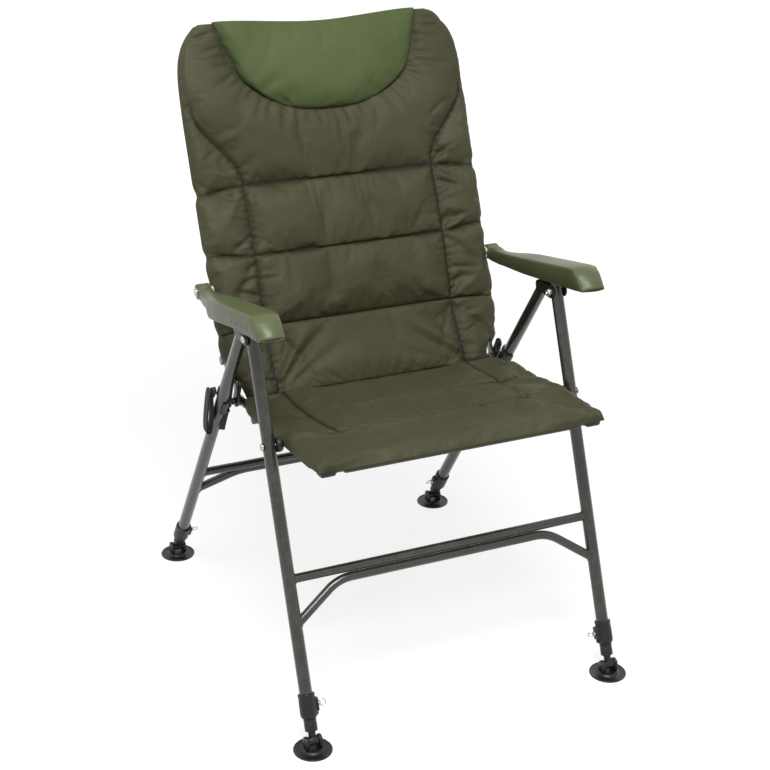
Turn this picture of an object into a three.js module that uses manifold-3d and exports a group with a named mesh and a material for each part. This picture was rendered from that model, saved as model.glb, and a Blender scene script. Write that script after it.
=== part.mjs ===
// Carp fishing chair: two crossed leg frames, a padded seat hinged on the front legs, a padded
// reclining back, armrests that ride on pegs at the leg tops, and telescopic legs with swivel feet.
// Millimetres, +Z up, the front of the chair faces -Y, origin on the floor midway between the feet.
import * as THREE from "three";
import { mergeVertices } from "three/addons/utils/BufferGeometryUtils.js";
import Module from "manifold-3d";

const wasm = await Module();
wasm.setup();

// Side view of the open chair: where the pivots stand
const frontFootY = -358.5;
const rearFootY = 358.5;
const footPivotZ = 19;
const apexY = -97.5;
const apexZ = 650;
const hingeY = 69.5;
const hingeZ = 460;
const seatPivotDrop = 181.6; // from the apex down the front leg to the seat pivot
const pegRise = 31.4; // from the apex up the front leg to the armrest peg
const armPivotRise = 202; // from the seat hinge up the back tube to the armrest pivot
const backLean = 23.4; // degrees from upright
const armSlope = 12.5; // degrees, rising to the front

// Tubes
const legHalfSpan = 290;
const legRadius = 11;
const legWall = 1.5;
const crossRadius = 8;
const crossWall = 1.4;
const seatTubeRadius = 8.5;
const seatTubeWall = 1.5;
const tubeSides = 12;
const tunnelSides = 8;
const discSides = 24;
const boltSides = 10;
const holeSides = 8;
const seatGap = 0.3; // between pieces that rest on or are welded to each other
const runGap = 0.3; // round bolts and pins that turn in their holes

// What stands between the leg planes, each piece placed from its neighbour towards the middle
const spacerLength = 13.1;
const seatPadSideClear = 0.6;
const backPadSideClear = 4.4;
const seatRailInset = 19; // from the seat pad's side to the rail's centre line
const backTubeInset = 10.6;
const spacerOuter = legHalfSpan - legRadius - seatGap;
const spacerInner = spacerOuter - spacerLength;
const seatPadHalf = spacerInner - seatPadSideClear;
const backPadHalf = legHalfSpan - legRadius - backPadSideClear;
const seatRailX = seatPadHalf - seatRailInset;
const backTubeX = backPadHalf - backTubeInset;

// Front leg frame
const tubeFootEnd = 49; // from the foot pivot up the leg to the tube's lower end
const legTopPastPeg = 9;
const frontCrossUp = 275; // from the foot pivot up the leg
const frontBraceUp = 196;
const frontBendIn = 87; // from the leg plane to the brace's bend
const rearBendIn = 80;
const braceBendX = legHalfSpan - frontBendIn;
const braceBendRadius = 75;
const braceBendSteps = 3;

// Rear leg frame
const rearTubeShort = 13; // the tube ends this far below the apex's foot on its axis
const rearCrossUp = 287;
const rearBraceUp = 224;
const rearBraceBendX = legHalfSpan - rearBendIn;

// Knuckle that carries the top of the rear leg on the apex bolt
const knuckleSleeveRadius = 13;
const knuckleSleeveLength = 28;
const knuckleCap = 3.6;
const knuckleEarRadius = 11.5;
const knuckleEarRoot = 9;
const knuckleEarInset = 14; // from the sleeve's top down to the root of the ears
const knuckleEarInner = 3.2;
const knuckleEarOuter = 4.2;

// Bolts and pins
const boltRadius = 4;
const boltHeadRadius = 6.8;
const boltHeadHeight = 3.6;
const boltNutHeight = 3.4;
const pegInside = 14; // the peg's ends, from the leg plane
const pegOutside = 28;
const pegPlugDepth = 14;
const pegCapHeight = 2.6;

// Seat pivot
const seatSpacerRadius = 13;

// Hinge where the seat, the back and the rear legs meet
const tongueThick = 4;
const tongueEyeRadius = 10;
const tongueHalfHeight = 7.6;
const tongueIntoTube = 14;
const tubeStartFromHinge = 26;
const plateThick = 4;
const plateEyeRadius = 11;
const plateTipRadius = 9;
const plateTipForward = 17;
const plateTipUp = 37;
const saddleGapToNut = 0.7;
const saddleWall = 3.4;
const saddleLength = 34;
const saddleBossRadius = 10;
const saddleOpenPastAxis = 3;

// Leg collars, telescopic legs and feet, measured from the foot pivot up the leg
const sleeveBottom = 17;
const collarBottom = 40;
const collarTop = 82;
const collarRadiusTop = 13.7;
const collarRadiusLow = 14.8;
const collarChamfer = 4;
const collarBossHeight = 24;
const collarBossWidth = 15;
const collarBossReach = 18;
const collarBossCentre = 60;
const innerLegRadius = 9.2;
const innerLegWall = 1.6;
const innerLegTop = 205;
const innerLegHoleRadius = 2.6;
const innerLegHolePitch = 50;
const innerLegHoleCount = 3;
const innerLegSleeveRadius = 11;
const neckRadius = 6.4;
const barrelRadius = 8;
const barrelHalfWidth = 8.4;
const footPinRadius = 2.6;
const footDiscRadius = 33.5;
const footRimHeight = 2.8;
const footWebHeight = 2;
const footHubRadius = 15;
const footHubHeight = 5;
const footEarInner = 9;
const footEarOuter = 15;
const footEarRadius = 9.6;

// Pull pins that lock the telescopic legs
const pullPinRadius = 2.3;
const pullPinHeadRadius = 4.4;
const pullPinHeadHeight = 4;
const pullPinStart = 9.9; // from the leg axis
const pullPinStandOff = 0.4;
const pullRingRadius = 5.5;
const pullRingWire = 0.9;

// Seat frame and its corner fittings, measured from the hinge towards the front
const seatFrontTubeAt = 377;
const cornerHalf = 13;
const cornerHalfHeight = 10.6;
const spigotLength = 18;
const seatRearTubeAt = 62;

// Back frame, measured from the hinge up the back
const backTopTubeAt = 646;
const backLowTubeAt = 75;
const backBendRadius = 75;
const backBendSteps = 5;

// Seat pad
const seatPadStart = 16;
const seatPadEnd = 392;
const seatSeams = [158, 274];
const seatSidePanel = 81;
const seatSeamX = seatPadHalf - seatSidePanel;
const seatPadRearIn = 25;
const seatPadRearHalf = seatPadHalf - seatPadRearIn;
const seatPadWidens = 90;
const seatPadBase = 10;
const seatPadFrontBase = 18;
const seatPadCrown = 12;
const seatPadUnder = 9;
const seatRimDepth = 9;
const seatFrontRimDepth = 24;
const seatCornerUnder = 5.5;
const seatCornerReach = 24;

// Hems round the tubes of both pads, and the half thickness of their rims
const hemRadius = 12;
const rimHalf = 3;

// Back pad
const backPadStart = 16;
const backSeams = [122.5, 251, 378];
const headrestSeam = 500;
const backSidePanel = 86.6;
const backSeamX = backPadHalf - backSidePanel;
const backPadLowIn = 32.6;
const backPadLowHalf = backPadHalf - backPadLowIn;
const backPadWidens = 90;
const backPadTopCentre = 661;
const backPadTopHorn = 11; // the top edge is this much higher at its horns than at its centre
const backHornIn = 74.6;
const backHornX = backPadHalf - backHornIn;
const backPadCornerIn = 42;
const backPadCornerDrop = 5;
const shoulderStart = 384;
const shoulderEnd = 522;
const shoulderSeamIn = 12.6;
const shoulderSeamEnd = backPadHalf - shoulderSeamIn;
const backPadBase = 6;
const backPadCrown = 12;
const backPadUnder = 7;
const backRimDepth = 9;

// Headrest
const headrestTopIn = 75.6;
const headrestTaper = 58;
const headrestTopHalf = backPadHalf - headrestTopIn;
const headrestLowHalf = headrestTopHalf - headrestTaper;
const headrestBottom = 503.4;
const headrestSideRise = 35;
const headrestTopEdge = 662;
const headrestThick = 21;
const headrestRim = 8.5;
const headrestRimDepth = 26;
const headrestInset = 2;
const headrestGap = 0.5;

// A pad's top comes down towards the hinge, so that seat and back can fold onto each other
const seatWedgeShare = 0.235;
const backWedgeShare = 0.2;

// Armrest, measured from its pivot towards the nose and up from the line through the pivot
const armHubRadius = 14;
const armHubInside = 11.4; // the hub's faces, from the leg plane
const armHubOutside = 13;
const armHubIn = legHalfSpan - armHubInside;
const armHubOut = legHalfSpan + armHubOutside;
const armBoltWasherRadius = 11;
const armWall = 2.6;
const armCeiling = 3.4;
const armEdgeRadius = 6;
const armCrown = 1.4;
const channelStart = 100;
const channelEnd = 343;
const rackStart = 222;
const rackEnd = 330;
const rackFromLeg = 16;
const rackInX = legHalfSpan + rackFromLeg;
const rackOverPeg = 0.5;
const notchCount = 4;
const notchPitch = 24;
const notchRadius = 4.6;
const notchDepth = 2.4;
const witnessHoleRadius = 1.5;
const armLength = 360; // from the pivot to the nose
const armHalfWidth = 25;
const armDepth = 36;
// Stations along the armrest, as shares of its length, half width and depth: how far along,
// the inner and outer face from the leg plane, and the top and underside from the pivot's line
const armStationShares = [
  [-0.01667, -0.448, 0.512, 0.25, -0.2778],
  [0.05556, -0.424, 0.52, 0.2778, -0.3889],
  [0.09444, -0.36, 0.656, 0.1667, -0.4056],
  [0.16667, -0.4, 0.88, 0.1389, -0.4306],
  [0.23889, -0.48, 1.04, 0.1278, -0.4722],
  [0.26944, -0.52, 1.1, 0.1222, -0.7778],
  [0.3, -0.56, 1.14, 0.1167, -0.8611],
  [0.41667, -0.688, 1.24, 0.1111, -0.8333],
  [0.69444, -0.704, 1.296, 0.1, -0.7778],
  [0.88333, -0.704, 1.296, 0.0944, -0.8889],
  [0.91944, -0.696, 1.288, 0.0556, -0.9278],
  [0.95278, -0.68, 1.272, -0.1944, -0.9611],
  [0.98056, -0.656, 1.248, -0.5556, -0.9889],
  [1, -0.616, 1.208, -0.8889, -1],
];
const armStations = armStationShares.map(([at, inner, outer, top, low]) => ({
  at: at * armLength,
  inner: legHalfSpan + inner * armHalfWidth,
  outer: legHalfSpan + outer * armHalfWidth,
  top: top * armDepth,
  low: low * armDepth,
}));

// Closing strap on the left rear leg
const strapThick = 1.8;
const strapWidth = 19;
const strapUp = 563; // from the foot pivot up the leg
const strapLoopTop = 486;
const strapLoopBottom = 396;
const strapLoopY = 78;
const strapReach = 31.5; // from the leg plane out to the loop's outer side
const strapOuterX = legHalfSpan + strapReach;
const strapTailLength = 78;
const strapTailWidth = 15;

// Finishes
const tubePaint = { color: 0x474940, roughness: 0.35, metalness: 0.25 };
const blackPlastic = { color: 0x1d2221, roughness: 0.5, metalness: 0 };
const blackSteel = { color: 0x1a1c1b, roughness: 0.45, metalness: 0.3 };
const greenPlastic = { color: 0x5d6b4b, roughness: 0.42, metalness: 0 };
const brightSteel = { color: 0xb9bbb8, roughness: 0.3, metalness: 1 };
const oliveFabric = { color: 0x45432f, roughness: 0.9, metalness: 0 };
const greenFabric = { color: 0x566b3d, roughness: 0.85, metalness: 0 };
const blackWebbing = { color: 0x181a1a, roughness: 0.8, metalness: 0 };

// Points of the side view, on the chair's middle plane
const point = (y, z) => new THREE.Vector3(0, y, z);
const acrossAxis = new THREE.Vector3(1, 0, 0);
const step = (from, direction, distance) => from.clone().addScaledVector(direction, distance);
const heading = (from, to) => to.clone().sub(from).normalize();
const atX = (place, x) => new THREE.Vector3(x, place.y, place.z);
const upFrom = (direction) => new THREE.Vector3(0, -direction.z, direction.y);

const frontFoot = point(frontFootY, footPivotZ);
const rearFoot = point(rearFootY, footPivotZ);
const apex = point(apexY, apexZ);
const hinge = point(hingeY, hingeZ);
const frontLegDir = heading(frontFoot, apex);
const rearLegDir = heading(rearFoot, hinge);
const seatPivot = step(apex, frontLegDir, -seatPivotDrop);
const peg = step(apex, frontLegDir, pegRise);
const lean = THREE.MathUtils.degToRad(backLean);
const slope = THREE.MathUtils.degToRad(armSlope);
const backDir = new THREE.Vector3(0, Math.sin(lean), Math.cos(lean));
const backNormal = upFrom(backDir);
const seatDir = heading(hinge, seatPivot);
const seatNormal = upFrom(seatDir).negate();
const armPivot = step(hinge, backDir, armPivotRise);
const armDir = new THREE.Vector3(0, -Math.cos(slope), Math.sin(slope));
const armNormal = new THREE.Vector3(0, Math.sin(slope), Math.cos(slope));
const seatPoint = (x, s, t) => atX(step(step(hinge, seatDir, s), seatNormal, t), x);
const backPoint = (x, s, t) => atX(step(step(hinge, backDir, s), backNormal, t), x);
const armPoint = (x, s, t) => atX(step(step(armPivot, armDir, s), armNormal, t), x);
const rearApexAt = apex.clone().sub(rearFoot).dot(rearLegDir);
const hingeAt = hinge.distanceTo(rearFoot);
const apexAt = apex.distanceTo(frontFoot);

// A closed triangle mesh as a solid with its faces outward
function solid(geometry) {
  const bare = geometry.clone();
  bare.deleteAttribute("normal");
  bare.deleteAttribute("uv");
  const merged = mergeVertices(bare);
  const corners = merged.index.array;
  const kept = [];
  for (let i = 0; i < corners.length; i += 3) {
    const [a, b, c] = [corners[i], corners[i + 1], corners[i + 2]];
    if (a !== b && b !== c && c !== a) kept.push(a, b, c);
  }
  const build = (triangles) =>
    new wasm.Manifold(
      new wasm.Mesh({
        numProp: 3,
        vertProperties: merged.attributes.position.array,
        triVerts: new Uint32Array(triangles),
      }),
    );
  const made = build(kept);
  if (made.volume() > 0) return made;
  return build(kept.map((_, i) => kept[i - (i % 3) + 2 - (i % 3)]));
}

const unite = (...solids) => solids.reduce((joined, next) => joined.add(next));
const cut = (body, ...tools) => tools.reduce((left, tool) => left.subtract(tool), body);

// A centre line of straight runs and round bends, with its own stations and directions
class CentreLine extends THREE.Curve {
  constructor(stations) {
    super();
    this.stations = stations;
  }
  getUtoTmapping(u) {
    return u;
  }
  getPoint(t) {
    const last = this.stations.length - 1;
    const index = Math.min(Math.floor(t * last), last - 1);
    const { place } = this.stations[index];
    return place.clone().lerp(this.stations[index + 1].place, t * last - index);
  }
  getTangent(t) {
    return this.stations[Math.round(t * (this.stations.length - 1))].direction.clone();
  }
}

// The stations of a path through corners that are rounded to one bend radius
function bentLine(corners, bendRadius, bendSteps) {
  const stations = [{ place: corners[0], direction: heading(corners[0], corners[1]) }];
  for (let i = 1; i < corners.length - 1; i += 1) {
    const into = heading(corners[i - 1], corners[i]);
    const out = heading(corners[i], corners[i + 1]);
    const half = into.angleTo(out) / 2;
    const reach = bendRadius * Math.tan(half);
    const start = step(corners[i], into, -reach);
    const inward = out.clone().sub(into).normalize();
    const centre = step(corners[i], inward, bendRadius / Math.cos(half));
    const turnAxis = into.clone().cross(out).normalize();
    for (let k = 0; k <= bendSteps; k += 1) {
      const turn = (2 * half * k) / bendSteps;
      const spoke = start.clone().sub(centre).applyAxisAngle(turnAxis, turn);
      const direction = into.clone().applyAxisAngle(turnAxis, turn);
      stations.push({ place: spoke.add(centre), direction });
    }
  }
  const [before, last] = corners.slice(-2);
  stations.push({ place: last, direction: heading(before, last) });
  return new CentreLine(stations);
}

const ring = (radius, sides) =>
  Array.from({ length: sides }, (_, i) => {
    const angle = (2 * Math.PI * i) / sides;
    return new THREE.Vector2(radius * Math.cos(angle), radius * Math.sin(angle));
  });

// A rod along a centre line, or a tube where it has a bore
function along(line, radius, bore = 0, sides = tubeSides) {
  const section = new THREE.Shape(ring(radius, sides));
  if (bore > 0) section.holes.push(new THREE.Path(ring(bore, sides).reverse()));
  const steps = line.stations.length - 1;
  return solid(new THREE.ExtrudeGeometry(section, { steps, extrudePath: line }));
}

const straight = (from, to, radius, bore = 0, sides = tubeSides) =>
  along(bentLine([from, to]), radius, bore, sides);

// A round bar across the chair
const barAcross = (place, fromX, toX, radius, sides = boltSides) =>
  straight(atX(place, fromX), atX(place, toX), radius, 0, sides);

// A turned piece about a leg's axis: points are [radius, distance from the foot pivot]
function turned(foot, direction, x, profile, sides = tubeSides) {
  const points = profile.map(([radius, at]) => new THREE.Vector2(radius, at));
  const geometry = new THREE.LatheGeometry(points, sides);
  const turn = new THREE.Quaternion().setFromUnitVectors(new THREE.Vector3(0, 1, 0), direction);
  geometry.applyQuaternion(turn);
  const place = atX(foot, x);
  geometry.translate(place.x, place.y, place.z);
  return solid(geometry);
}

// A flat plate across the chair from an outline of side-view points
function plateAcross(outline, fromX, toX) {
  const shape = new THREE.Shape(outline.map((p) => new THREE.Vector2(p.y, p.z)));
  const depth = Math.abs(toX - fromX);
  const geometry = new THREE.ExtrudeGeometry(shape, { depth, bevelEnabled: false });
  const axes = new THREE.Matrix4().makeBasis(point(1, 0), point(0, 1), acrossAxis);
  geometry.applyMatrix4(axes);
  geometry.translate(Math.min(fromX, toX), 0, 0);
  return solid(geometry);
}

// The outline round two circles of a plate
function boneOutline(first, firstRadius, second, secondRadius) {
  const apart = first.distanceTo(second);
  const toward = heading(first, second);
  const spread = Math.acos((firstRadius - secondRadius) / apart);
  const arcSteps = 6;
  const arc = (centre, radius, from, to) =>
    Array.from({ length: arcSteps + 1 }, (_, i) => {
      const angle = from + ((to - from) * i) / arcSteps;
      return step(centre, toward.clone().applyAxisAngle(acrossAxis, angle), radius);
    });
  return [
    ...arc(first, firstRadius, spread, 2 * Math.PI - spread),
    ...arc(second, secondRadius, -spread, spread),
  ];
}

// A box between two corners given in a pad's or armrest's own place function
function boxIn(placeOf, lowX, highX, lowS, highS, lowT, highT) {
  const corner = (s, t) => atX(placeOf(0, s, t), 0);
  const outline = [corner(lowS, lowT), corner(highS, lowT), corner(highS, highT), corner(lowS, highT)];
  return plateAcross(outline, lowX, highX);
}

// A skin over rings of points, closed at both ends
function loft(rings) {
  const size = rings[0].length;
  const positions = rings.flat().flatMap((p) => [p.x, p.y, p.z]);
  const faces = [];
  for (let i = 0; i < rings.length - 1; i += 1) {
    for (let k = 0; k < size; k += 1) {
      const [a, b] = [i * size + k, i * size + ((k + 1) % size)];
      faces.push(a, b, b + size, a, b + size, a + size);
    }
  }
  const lastRing = (rings.length - 1) * size;
  for (let k = 1; k < size - 1; k += 1) {
    faces.push(0, k + 1, k, lastRing, lastRing + k, lastRing + k + 1);
  }
  const geometry = new THREE.BufferGeometry();
  geometry.setAttribute("position", new THREE.Float32BufferAttribute(positions, 3));
  geometry.setIndex(faces);
  return solid(geometry);
}

const chair = new THREE.Group();

function addMesh(name, body, finish) {
  const { vertProperties, triVerts } = body.getMesh();
  const geometry = new THREE.BufferGeometry();
  geometry.setAttribute("position", new THREE.BufferAttribute(vertProperties, 3));
  geometry.setIndex(new THREE.BufferAttribute(triVerts, 1));
  geometry.computeVertexNormals();
  const mesh = new THREE.Mesh(geometry, new THREE.MeshStandardMaterial(finish));
  mesh.name = name;
  chair.add(mesh);
  return body;
}

const sides = [
  { word: "left", sign: -1 },
  { word: "right", sign: 1 },
];

// Front legs, with the holes for the apex bolt, the seat bolt and the armrest peg
const legTube = (foot, direction, x, from, to, radius = legRadius, bore = legRadius - legWall) =>
  straight(
    atX(step(foot, direction, from), x),
    atX(step(foot, direction, to), x),
    radius,
    bore,
    tubeSides,
  );

const frontLegEnd = apexAt + pegRise + legTopPastPeg;
const boltHole = boltRadius + runGap;
const legBody = (foot, direction, x, from, to) =>
  legTube(foot, direction, x, from, to, legRadius + seatGap, 0);

// The hole in a leg for its pull pin, on the side that faces the chair's middle
const pullPinHole = (foot, direction, sign) => {
  const place = step(foot, direction, collarBossCentre);
  const inward = sign * (legHalfSpan - collarBossReach - collarChamfer);
  return barAcross(place, inward, sign * legHalfSpan, pullPinRadius + runGap, holeSides);
};

function makeFrontLeg({ word, sign }) {
  const x = sign * legHalfSpan;
  const across = (place) =>
    barAcross(place, x - 2 * legRadius, x + 2 * legRadius, boltHole);
  const tube = legTube(frontFoot, frontLegDir, x, tubeFootEnd, frontLegEnd);
  const holes = [apex, seatPivot, peg].map(across);
  const body = cut(tube, ...holes, pullPinHole(frontFoot, frontLegDir, sign));
  addMesh(`front_leg_${word}`, body, tubePaint);
}

// Cross tube and bent brace of a leg frame, coped to the legs
function makeCrossTubes(prefix, foot, direction, crossUp, braceUp, bendX) {
  const legs = sides.map(({ sign }) =>
    legBody(foot, direction, sign * legHalfSpan, tubeFootEnd, crossUp + legHalfSpan),
  );
  const crossAt = step(foot, direction, crossUp);
  const cross = straight(
    atX(crossAt, -legHalfSpan),
    atX(crossAt, legHalfSpan),
    crossRadius,
    crossRadius - crossWall,
  );
  addMesh(`${prefix}_cross_tube`, middlePart(cut(cross, ...legs)), tubePaint);
  const under = step(foot, direction, crossUp - 2 * crossRadius - seatGap);
  const low = step(foot, direction, braceUp);
  const line = bentLine(
    [atX(low, -legHalfSpan), atX(under, -bendX), atX(under, bendX), atX(low, legHalfSpan)],
    braceBendRadius,
    braceBendSteps,
  );
  const brace = along(line, crossRadius, crossRadius - crossWall);
  addMesh(`${prefix}_brace_tube`, middlePart(cut(brace, ...legs)), tubePaint);
}

// The largest piece that a cut leaves, without the slivers inside the legs
function middlePart(body) {
  const parts = body.decompose();
  return parts.reduce((best, part) => (part.volume() > best.volume() ? part : best));
}

// Rear legs
const rearLegEnd = rearApexAt - rearTubeShort;

function makeRearLeg({ word, sign }) {
  const x = sign * legHalfSpan;
  const tube = legTube(rearFoot, rearLegDir, x, tubeFootEnd, rearLegEnd);
  addMesh(`rear_leg_${word}`, cut(tube, pullPinHole(rearFoot, rearLegDir, sign)), tubePaint);
}

// Knuckle: a cap over the rear tube's top with two ears that straddle the front leg
function makeKnuckle({ word, sign }) {
  const x = sign * legHalfSpan;
  const bore = legRadius + seatGap;
  const top = rearLegEnd + seatGap + knuckleCap;
  const low = top - knuckleSleeveLength;
  const cap = turned(rearFoot, rearLegDir, x, [
    [0, rearLegEnd + seatGap],
    [bore, rearLegEnd + seatGap],
    [bore, low],
    [knuckleSleeveRadius, low],
    [knuckleSleeveRadius, top],
    [0, top],
  ]);
  const root = step(rearFoot, rearLegDir, top - knuckleEarInset);
  const outline = boneOutline(apex, knuckleEarRadius, root, knuckleEarRoot);
  const innerFace = sign * (legHalfSpan - legRadius - seatGap);
  const outerFace = sign * (legHalfSpan + legRadius + seatGap);
  const innerEar = plateAcross(outline, innerFace - sign * knuckleEarInner, innerFace);
  const outerEar = plateAcross(outline, outerFace, outerFace + sign * knuckleEarOuter);
  const hole = barAcross(apex, x - 2 * legRadius, x + 2 * legRadius, boltHole);
  addMesh(`knuckle_${word}`, cut(unite(cap, innerEar, outerEar), hole), blackPlastic);
}

function makeApexBolt({ word, sign }) {
  const innerEnd = sign * (legHalfSpan - legRadius - 2 * seatGap - knuckleEarInner);
  const outerEnd = sign * (legHalfSpan + legRadius + 2 * seatGap + knuckleEarOuter);
  const shaft = barAcross(apex, innerEnd - sign * boltNutHeight, outerEnd, boltRadius);
  const nut = barAcross(apex, innerEnd - sign * boltNutHeight, innerEnd, boltHeadRadius, 6);
  const head = barAcross(apex, outerEnd, outerEnd + sign * boltHeadHeight, boltHeadRadius);
  addMesh(`apex_bolt_${word}`, unite(shaft, nut, head), brightSteel);
}

// Peg in the top of a front leg, which the armrest's rack rests on
function makeArmrestPeg({ word, sign }) {
  const bore = legRadius - legWall - seatGap;
  const end = frontLegEnd + seatGap;
  const x = sign * legHalfSpan;
  const plug = turned(frontFoot, frontLegDir, x, [
    [0, end - pegPlugDepth - legTopPastPeg],
    [bore, end - pegPlugDepth - legTopPastPeg],
    [bore, end],
    [legRadius, end],
    [legRadius - pegCapHeight / 2, end + pegCapHeight],
    [0, end + pegCapHeight],
  ]);
  const pin = barAcross(peg, sign * (legHalfSpan - pegInside), sign * (legHalfSpan + pegOutside), boltRadius);
  addMesh(`armrest_peg_${word}`, unite(plug, pin), blackPlastic);
}

// Seat pivot: a bolt through the front leg and a round spacer between leg and seat

function makeSeatPivot({ word, sign }) {
  const outerEnd = legHalfSpan + legRadius + seatGap;
  const shaft = barAcross(seatPivot, sign * seatRailX, sign * outerEnd, boltRadius);
  const headEnd = sign * (outerEnd + boltHeadHeight);
  const head = barAcross(seatPivot, sign * outerEnd, headEnd, boltHeadRadius);
  addMesh(`seat_bolt_${word}`, unite(shaft, head), brightSteel);
  const disc = barAcross(
    seatPivot,
    sign * spacerInner,
    sign * spacerOuter,
    seatSpacerRadius,
    tubeSides,
  );
  const hole = barAcross(seatPivot, sign * seatRailX, sign * outerEnd, boltHole);
  addMesh(`seat_spacer_${word}`, cut(disc, hole), blackPlastic);
}

// Collar on a tube's lower end, with a boss for the pull pin on the chair's inner side
function makeCollar(name, foot, direction, sign) {
  const x = sign * legHalfSpan;
  const slide = innerLegRadius + runGap;
  const bore = legRadius + seatGap;
  const shell = turned(foot, direction, x, [
    [slide, collarBottom],
    [collarRadiusLow - collarChamfer / 2, collarBottom],
    [collarRadiusLow, collarBottom + collarChamfer],
    [collarRadiusTop, collarTop],
    [bore, collarTop],
    [bore, tubeFootEnd - seatGap],
    [slide, tubeFootEnd - seatGap],
    [slide, collarBottom],
  ]);
  const centre = step(foot, direction, collarBossCentre);
  const forward = upFrom(direction);
  const corner = (a, b) => step(step(centre, direction, a), forward, b);
  const [up, wide] = [collarBossHeight / 2, collarBossWidth / 2];
  const outline = [corner(-up, -wide), corner(up, -wide), corner(up, wide), corner(-up, wide)];
  const bossFace = sign * (legHalfSpan - collarBossReach);
  const core = turned(foot, direction, x, [
    [0, collarBottom],
    [bore + seatGap, collarBottom],
    [bore + seatGap, collarTop],
    [0, collarTop],
  ]);
  const boss = cut(plateAcross(outline, bossFace, x), core);
  const pinHole = barAcross(
    centre,
    bossFace - sign * legRadius,
    x,
    pullPinRadius + runGap,
    holeSides,
  );
  addMesh(name, cut(unite(shell, boss), pinHole), blackPlastic);
}

// Spring pin with a pull ring
function makePullPin(name, foot, direction, sign, ringDirection) {
  const centre = step(foot, direction, collarBossCentre);
  const headStart = legHalfSpan - collarBossReach - pullPinStandOff;
  const headEnd = headStart - pullPinHeadHeight;
  const tip = sign * (legHalfSpan - pullPinStart);
  const shaft = barAcross(centre, sign * headEnd, tip, pullPinRadius);
  const head = barAcross(centre, sign * headEnd, sign * headStart, pullPinHeadRadius);
  const wire = new THREE.TorusGeometry(pullRingRadius, pullRingWire, 5, boltSides);
  const axes = new THREE.Matrix4().makeBasis(
    acrossAxis,
    ringDirection,
    acrossAxis.clone().cross(ringDirection),
  );
  wire.applyMatrix4(axes);
  const hub = atX(centre, sign * (headEnd + pullRingWire - pullRingRadius));
  wire.translate(hub.x, hub.y, hub.z);
  addMesh(name, unite(shaft, head, solid(wire)), brightSteel);
}

// Telescopic inner leg: a tube with lock holes, a sleeve, a neck and the barrel of the foot joint
function makeInnerLeg(name, foot, direction, sign) {
  const x = sign * legHalfSpan;
  const top = collarBottom - seatGap;
  const body = turned(foot, direction, x, [
    [0, 0],
    [neckRadius, 0],
    [neckRadius, sleeveBottom],
    [innerLegSleeveRadius, sleeveBottom + seatGap],
    [innerLegSleeveRadius, top],
    [innerLegRadius, top],
    [innerLegRadius, innerLegTop],
    [innerLegRadius - innerLegWall, innerLegTop],
    [innerLegRadius - innerLegWall, tubeFootEnd],
    [0, tubeFootEnd],
  ]);
  const barrel = barAcross(foot, x - barrelHalfWidth, x + barrelHalfWidth, barrelRadius, tubeSides);
  const pin = barAcross(foot, x - footEarOuter, x + footEarOuter, footPinRadius + runGap);
  const lockHoles = Array.from({ length: innerLegHoleCount }, (_, i) => {
    const place = step(foot, direction, collarBossCentre + i * innerLegHolePitch);
    const open = sign * (legHalfSpan - 2 * legRadius);
    return barAcross(place, x, open, innerLegHoleRadius, holeSides);
  });
  addMesh(name, cut(unite(body, barrel), pin, ...lockHoles), blackPlastic);
}

// Swivel foot: a dished disc with two ears and the pin that the leg's barrel turns on
function makeFoot(name, foot, sign) {
  const x = sign * legHalfSpan;
  const floor = point(foot.y, 0);
  const disc = turned(floor, point(0, 1), x, [
    [0, 0],
    [footDiscRadius, 0],
    [footDiscRadius, footRimHeight],
    [footDiscRadius - footRimHeight, footWebHeight],
    [footHubRadius, footHubHeight],
    [0, footHubHeight],
  ], discSides);
  const earFoot = point(foot.y, footEarRadius);
  const outline = boneOutline(foot, footEarRadius, earFoot, footEarRadius);
  const ears = [-1, 1].map((way) =>
    plateAcross(outline, x + way * footEarInner, x + way * footEarOuter),
  );
  const pin = barAcross(foot, x - footEarOuter, x + footEarOuter, footPinRadius);
  addMesh(name, unite(disc, ...ears, pin), blackPlastic);
}

// A tube whose hinge end is a flat tongue with an eye
function tongue(direction, x) {
  const root = step(hinge, direction, tubeStartFromHinge + tongueIntoTube);
  const normal = upFrom(direction);
  const edge = (from, height) => step(from, normal, height);
  const strip = [
    edge(hinge, -tongueHalfHeight),
    edge(root, -tongueHalfHeight),
    edge(root, tongueHalfHeight),
    edge(hinge, tongueHalfHeight),
  ];
  const eye = barAcross(hinge, x - tongueThick / 2, x + tongueThick / 2, tongueEyeRadius, tubeSides);
  return unite(plateAcross(strip, x - tongueThick / 2, x + tongueThick / 2), eye);
}

const hingeHole = (sign) => barAcross(hinge, 0, sign * legHalfSpan, boltHole);
const railTongueX = seatRailX + seatTubeRadius - tongueThick / 2;
const backTongueX = backTubeX - seatTubeRadius + tongueThick / 2;
const seatTubeBore = seatTubeRadius - seatTubeWall;

// Seat rails, front tube, rear tube and corner fittings
const railEnd = seatFrontTubeAt - cornerHalf - seatGap;

function makeSeatRail({ word, sign }) {
  const x = sign * seatRailX;
  const tube = straight(
    seatPoint(x, tubeStartFromHinge, 0),
    seatPoint(x, railEnd, 0),
    seatTubeRadius,
    seatTubeBore,
  );
  const bolt = barAcross(seatPivot, x, sign * legHalfSpan, boltHole);
  const rearTube = rearSeatTube(seatTubeRadius + seatGap, 0);
  const body = cut(unite(tube, tongue(seatDir, sign * railTongueX)), hingeHole(sign), bolt, rearTube);
  addMesh(`seat_rail_${word}`, body, tubePaint);
}

const rearSeatTube = (radius, bore) =>
  straight(
    seatPoint(-seatRailX - seatTubeRadius, seatRearTubeAt, -2 * seatTubeRadius),
    seatPoint(seatRailX + seatTubeRadius, seatRearTubeAt, -2 * seatTubeRadius),
    radius,
    bore,
  );

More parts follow.
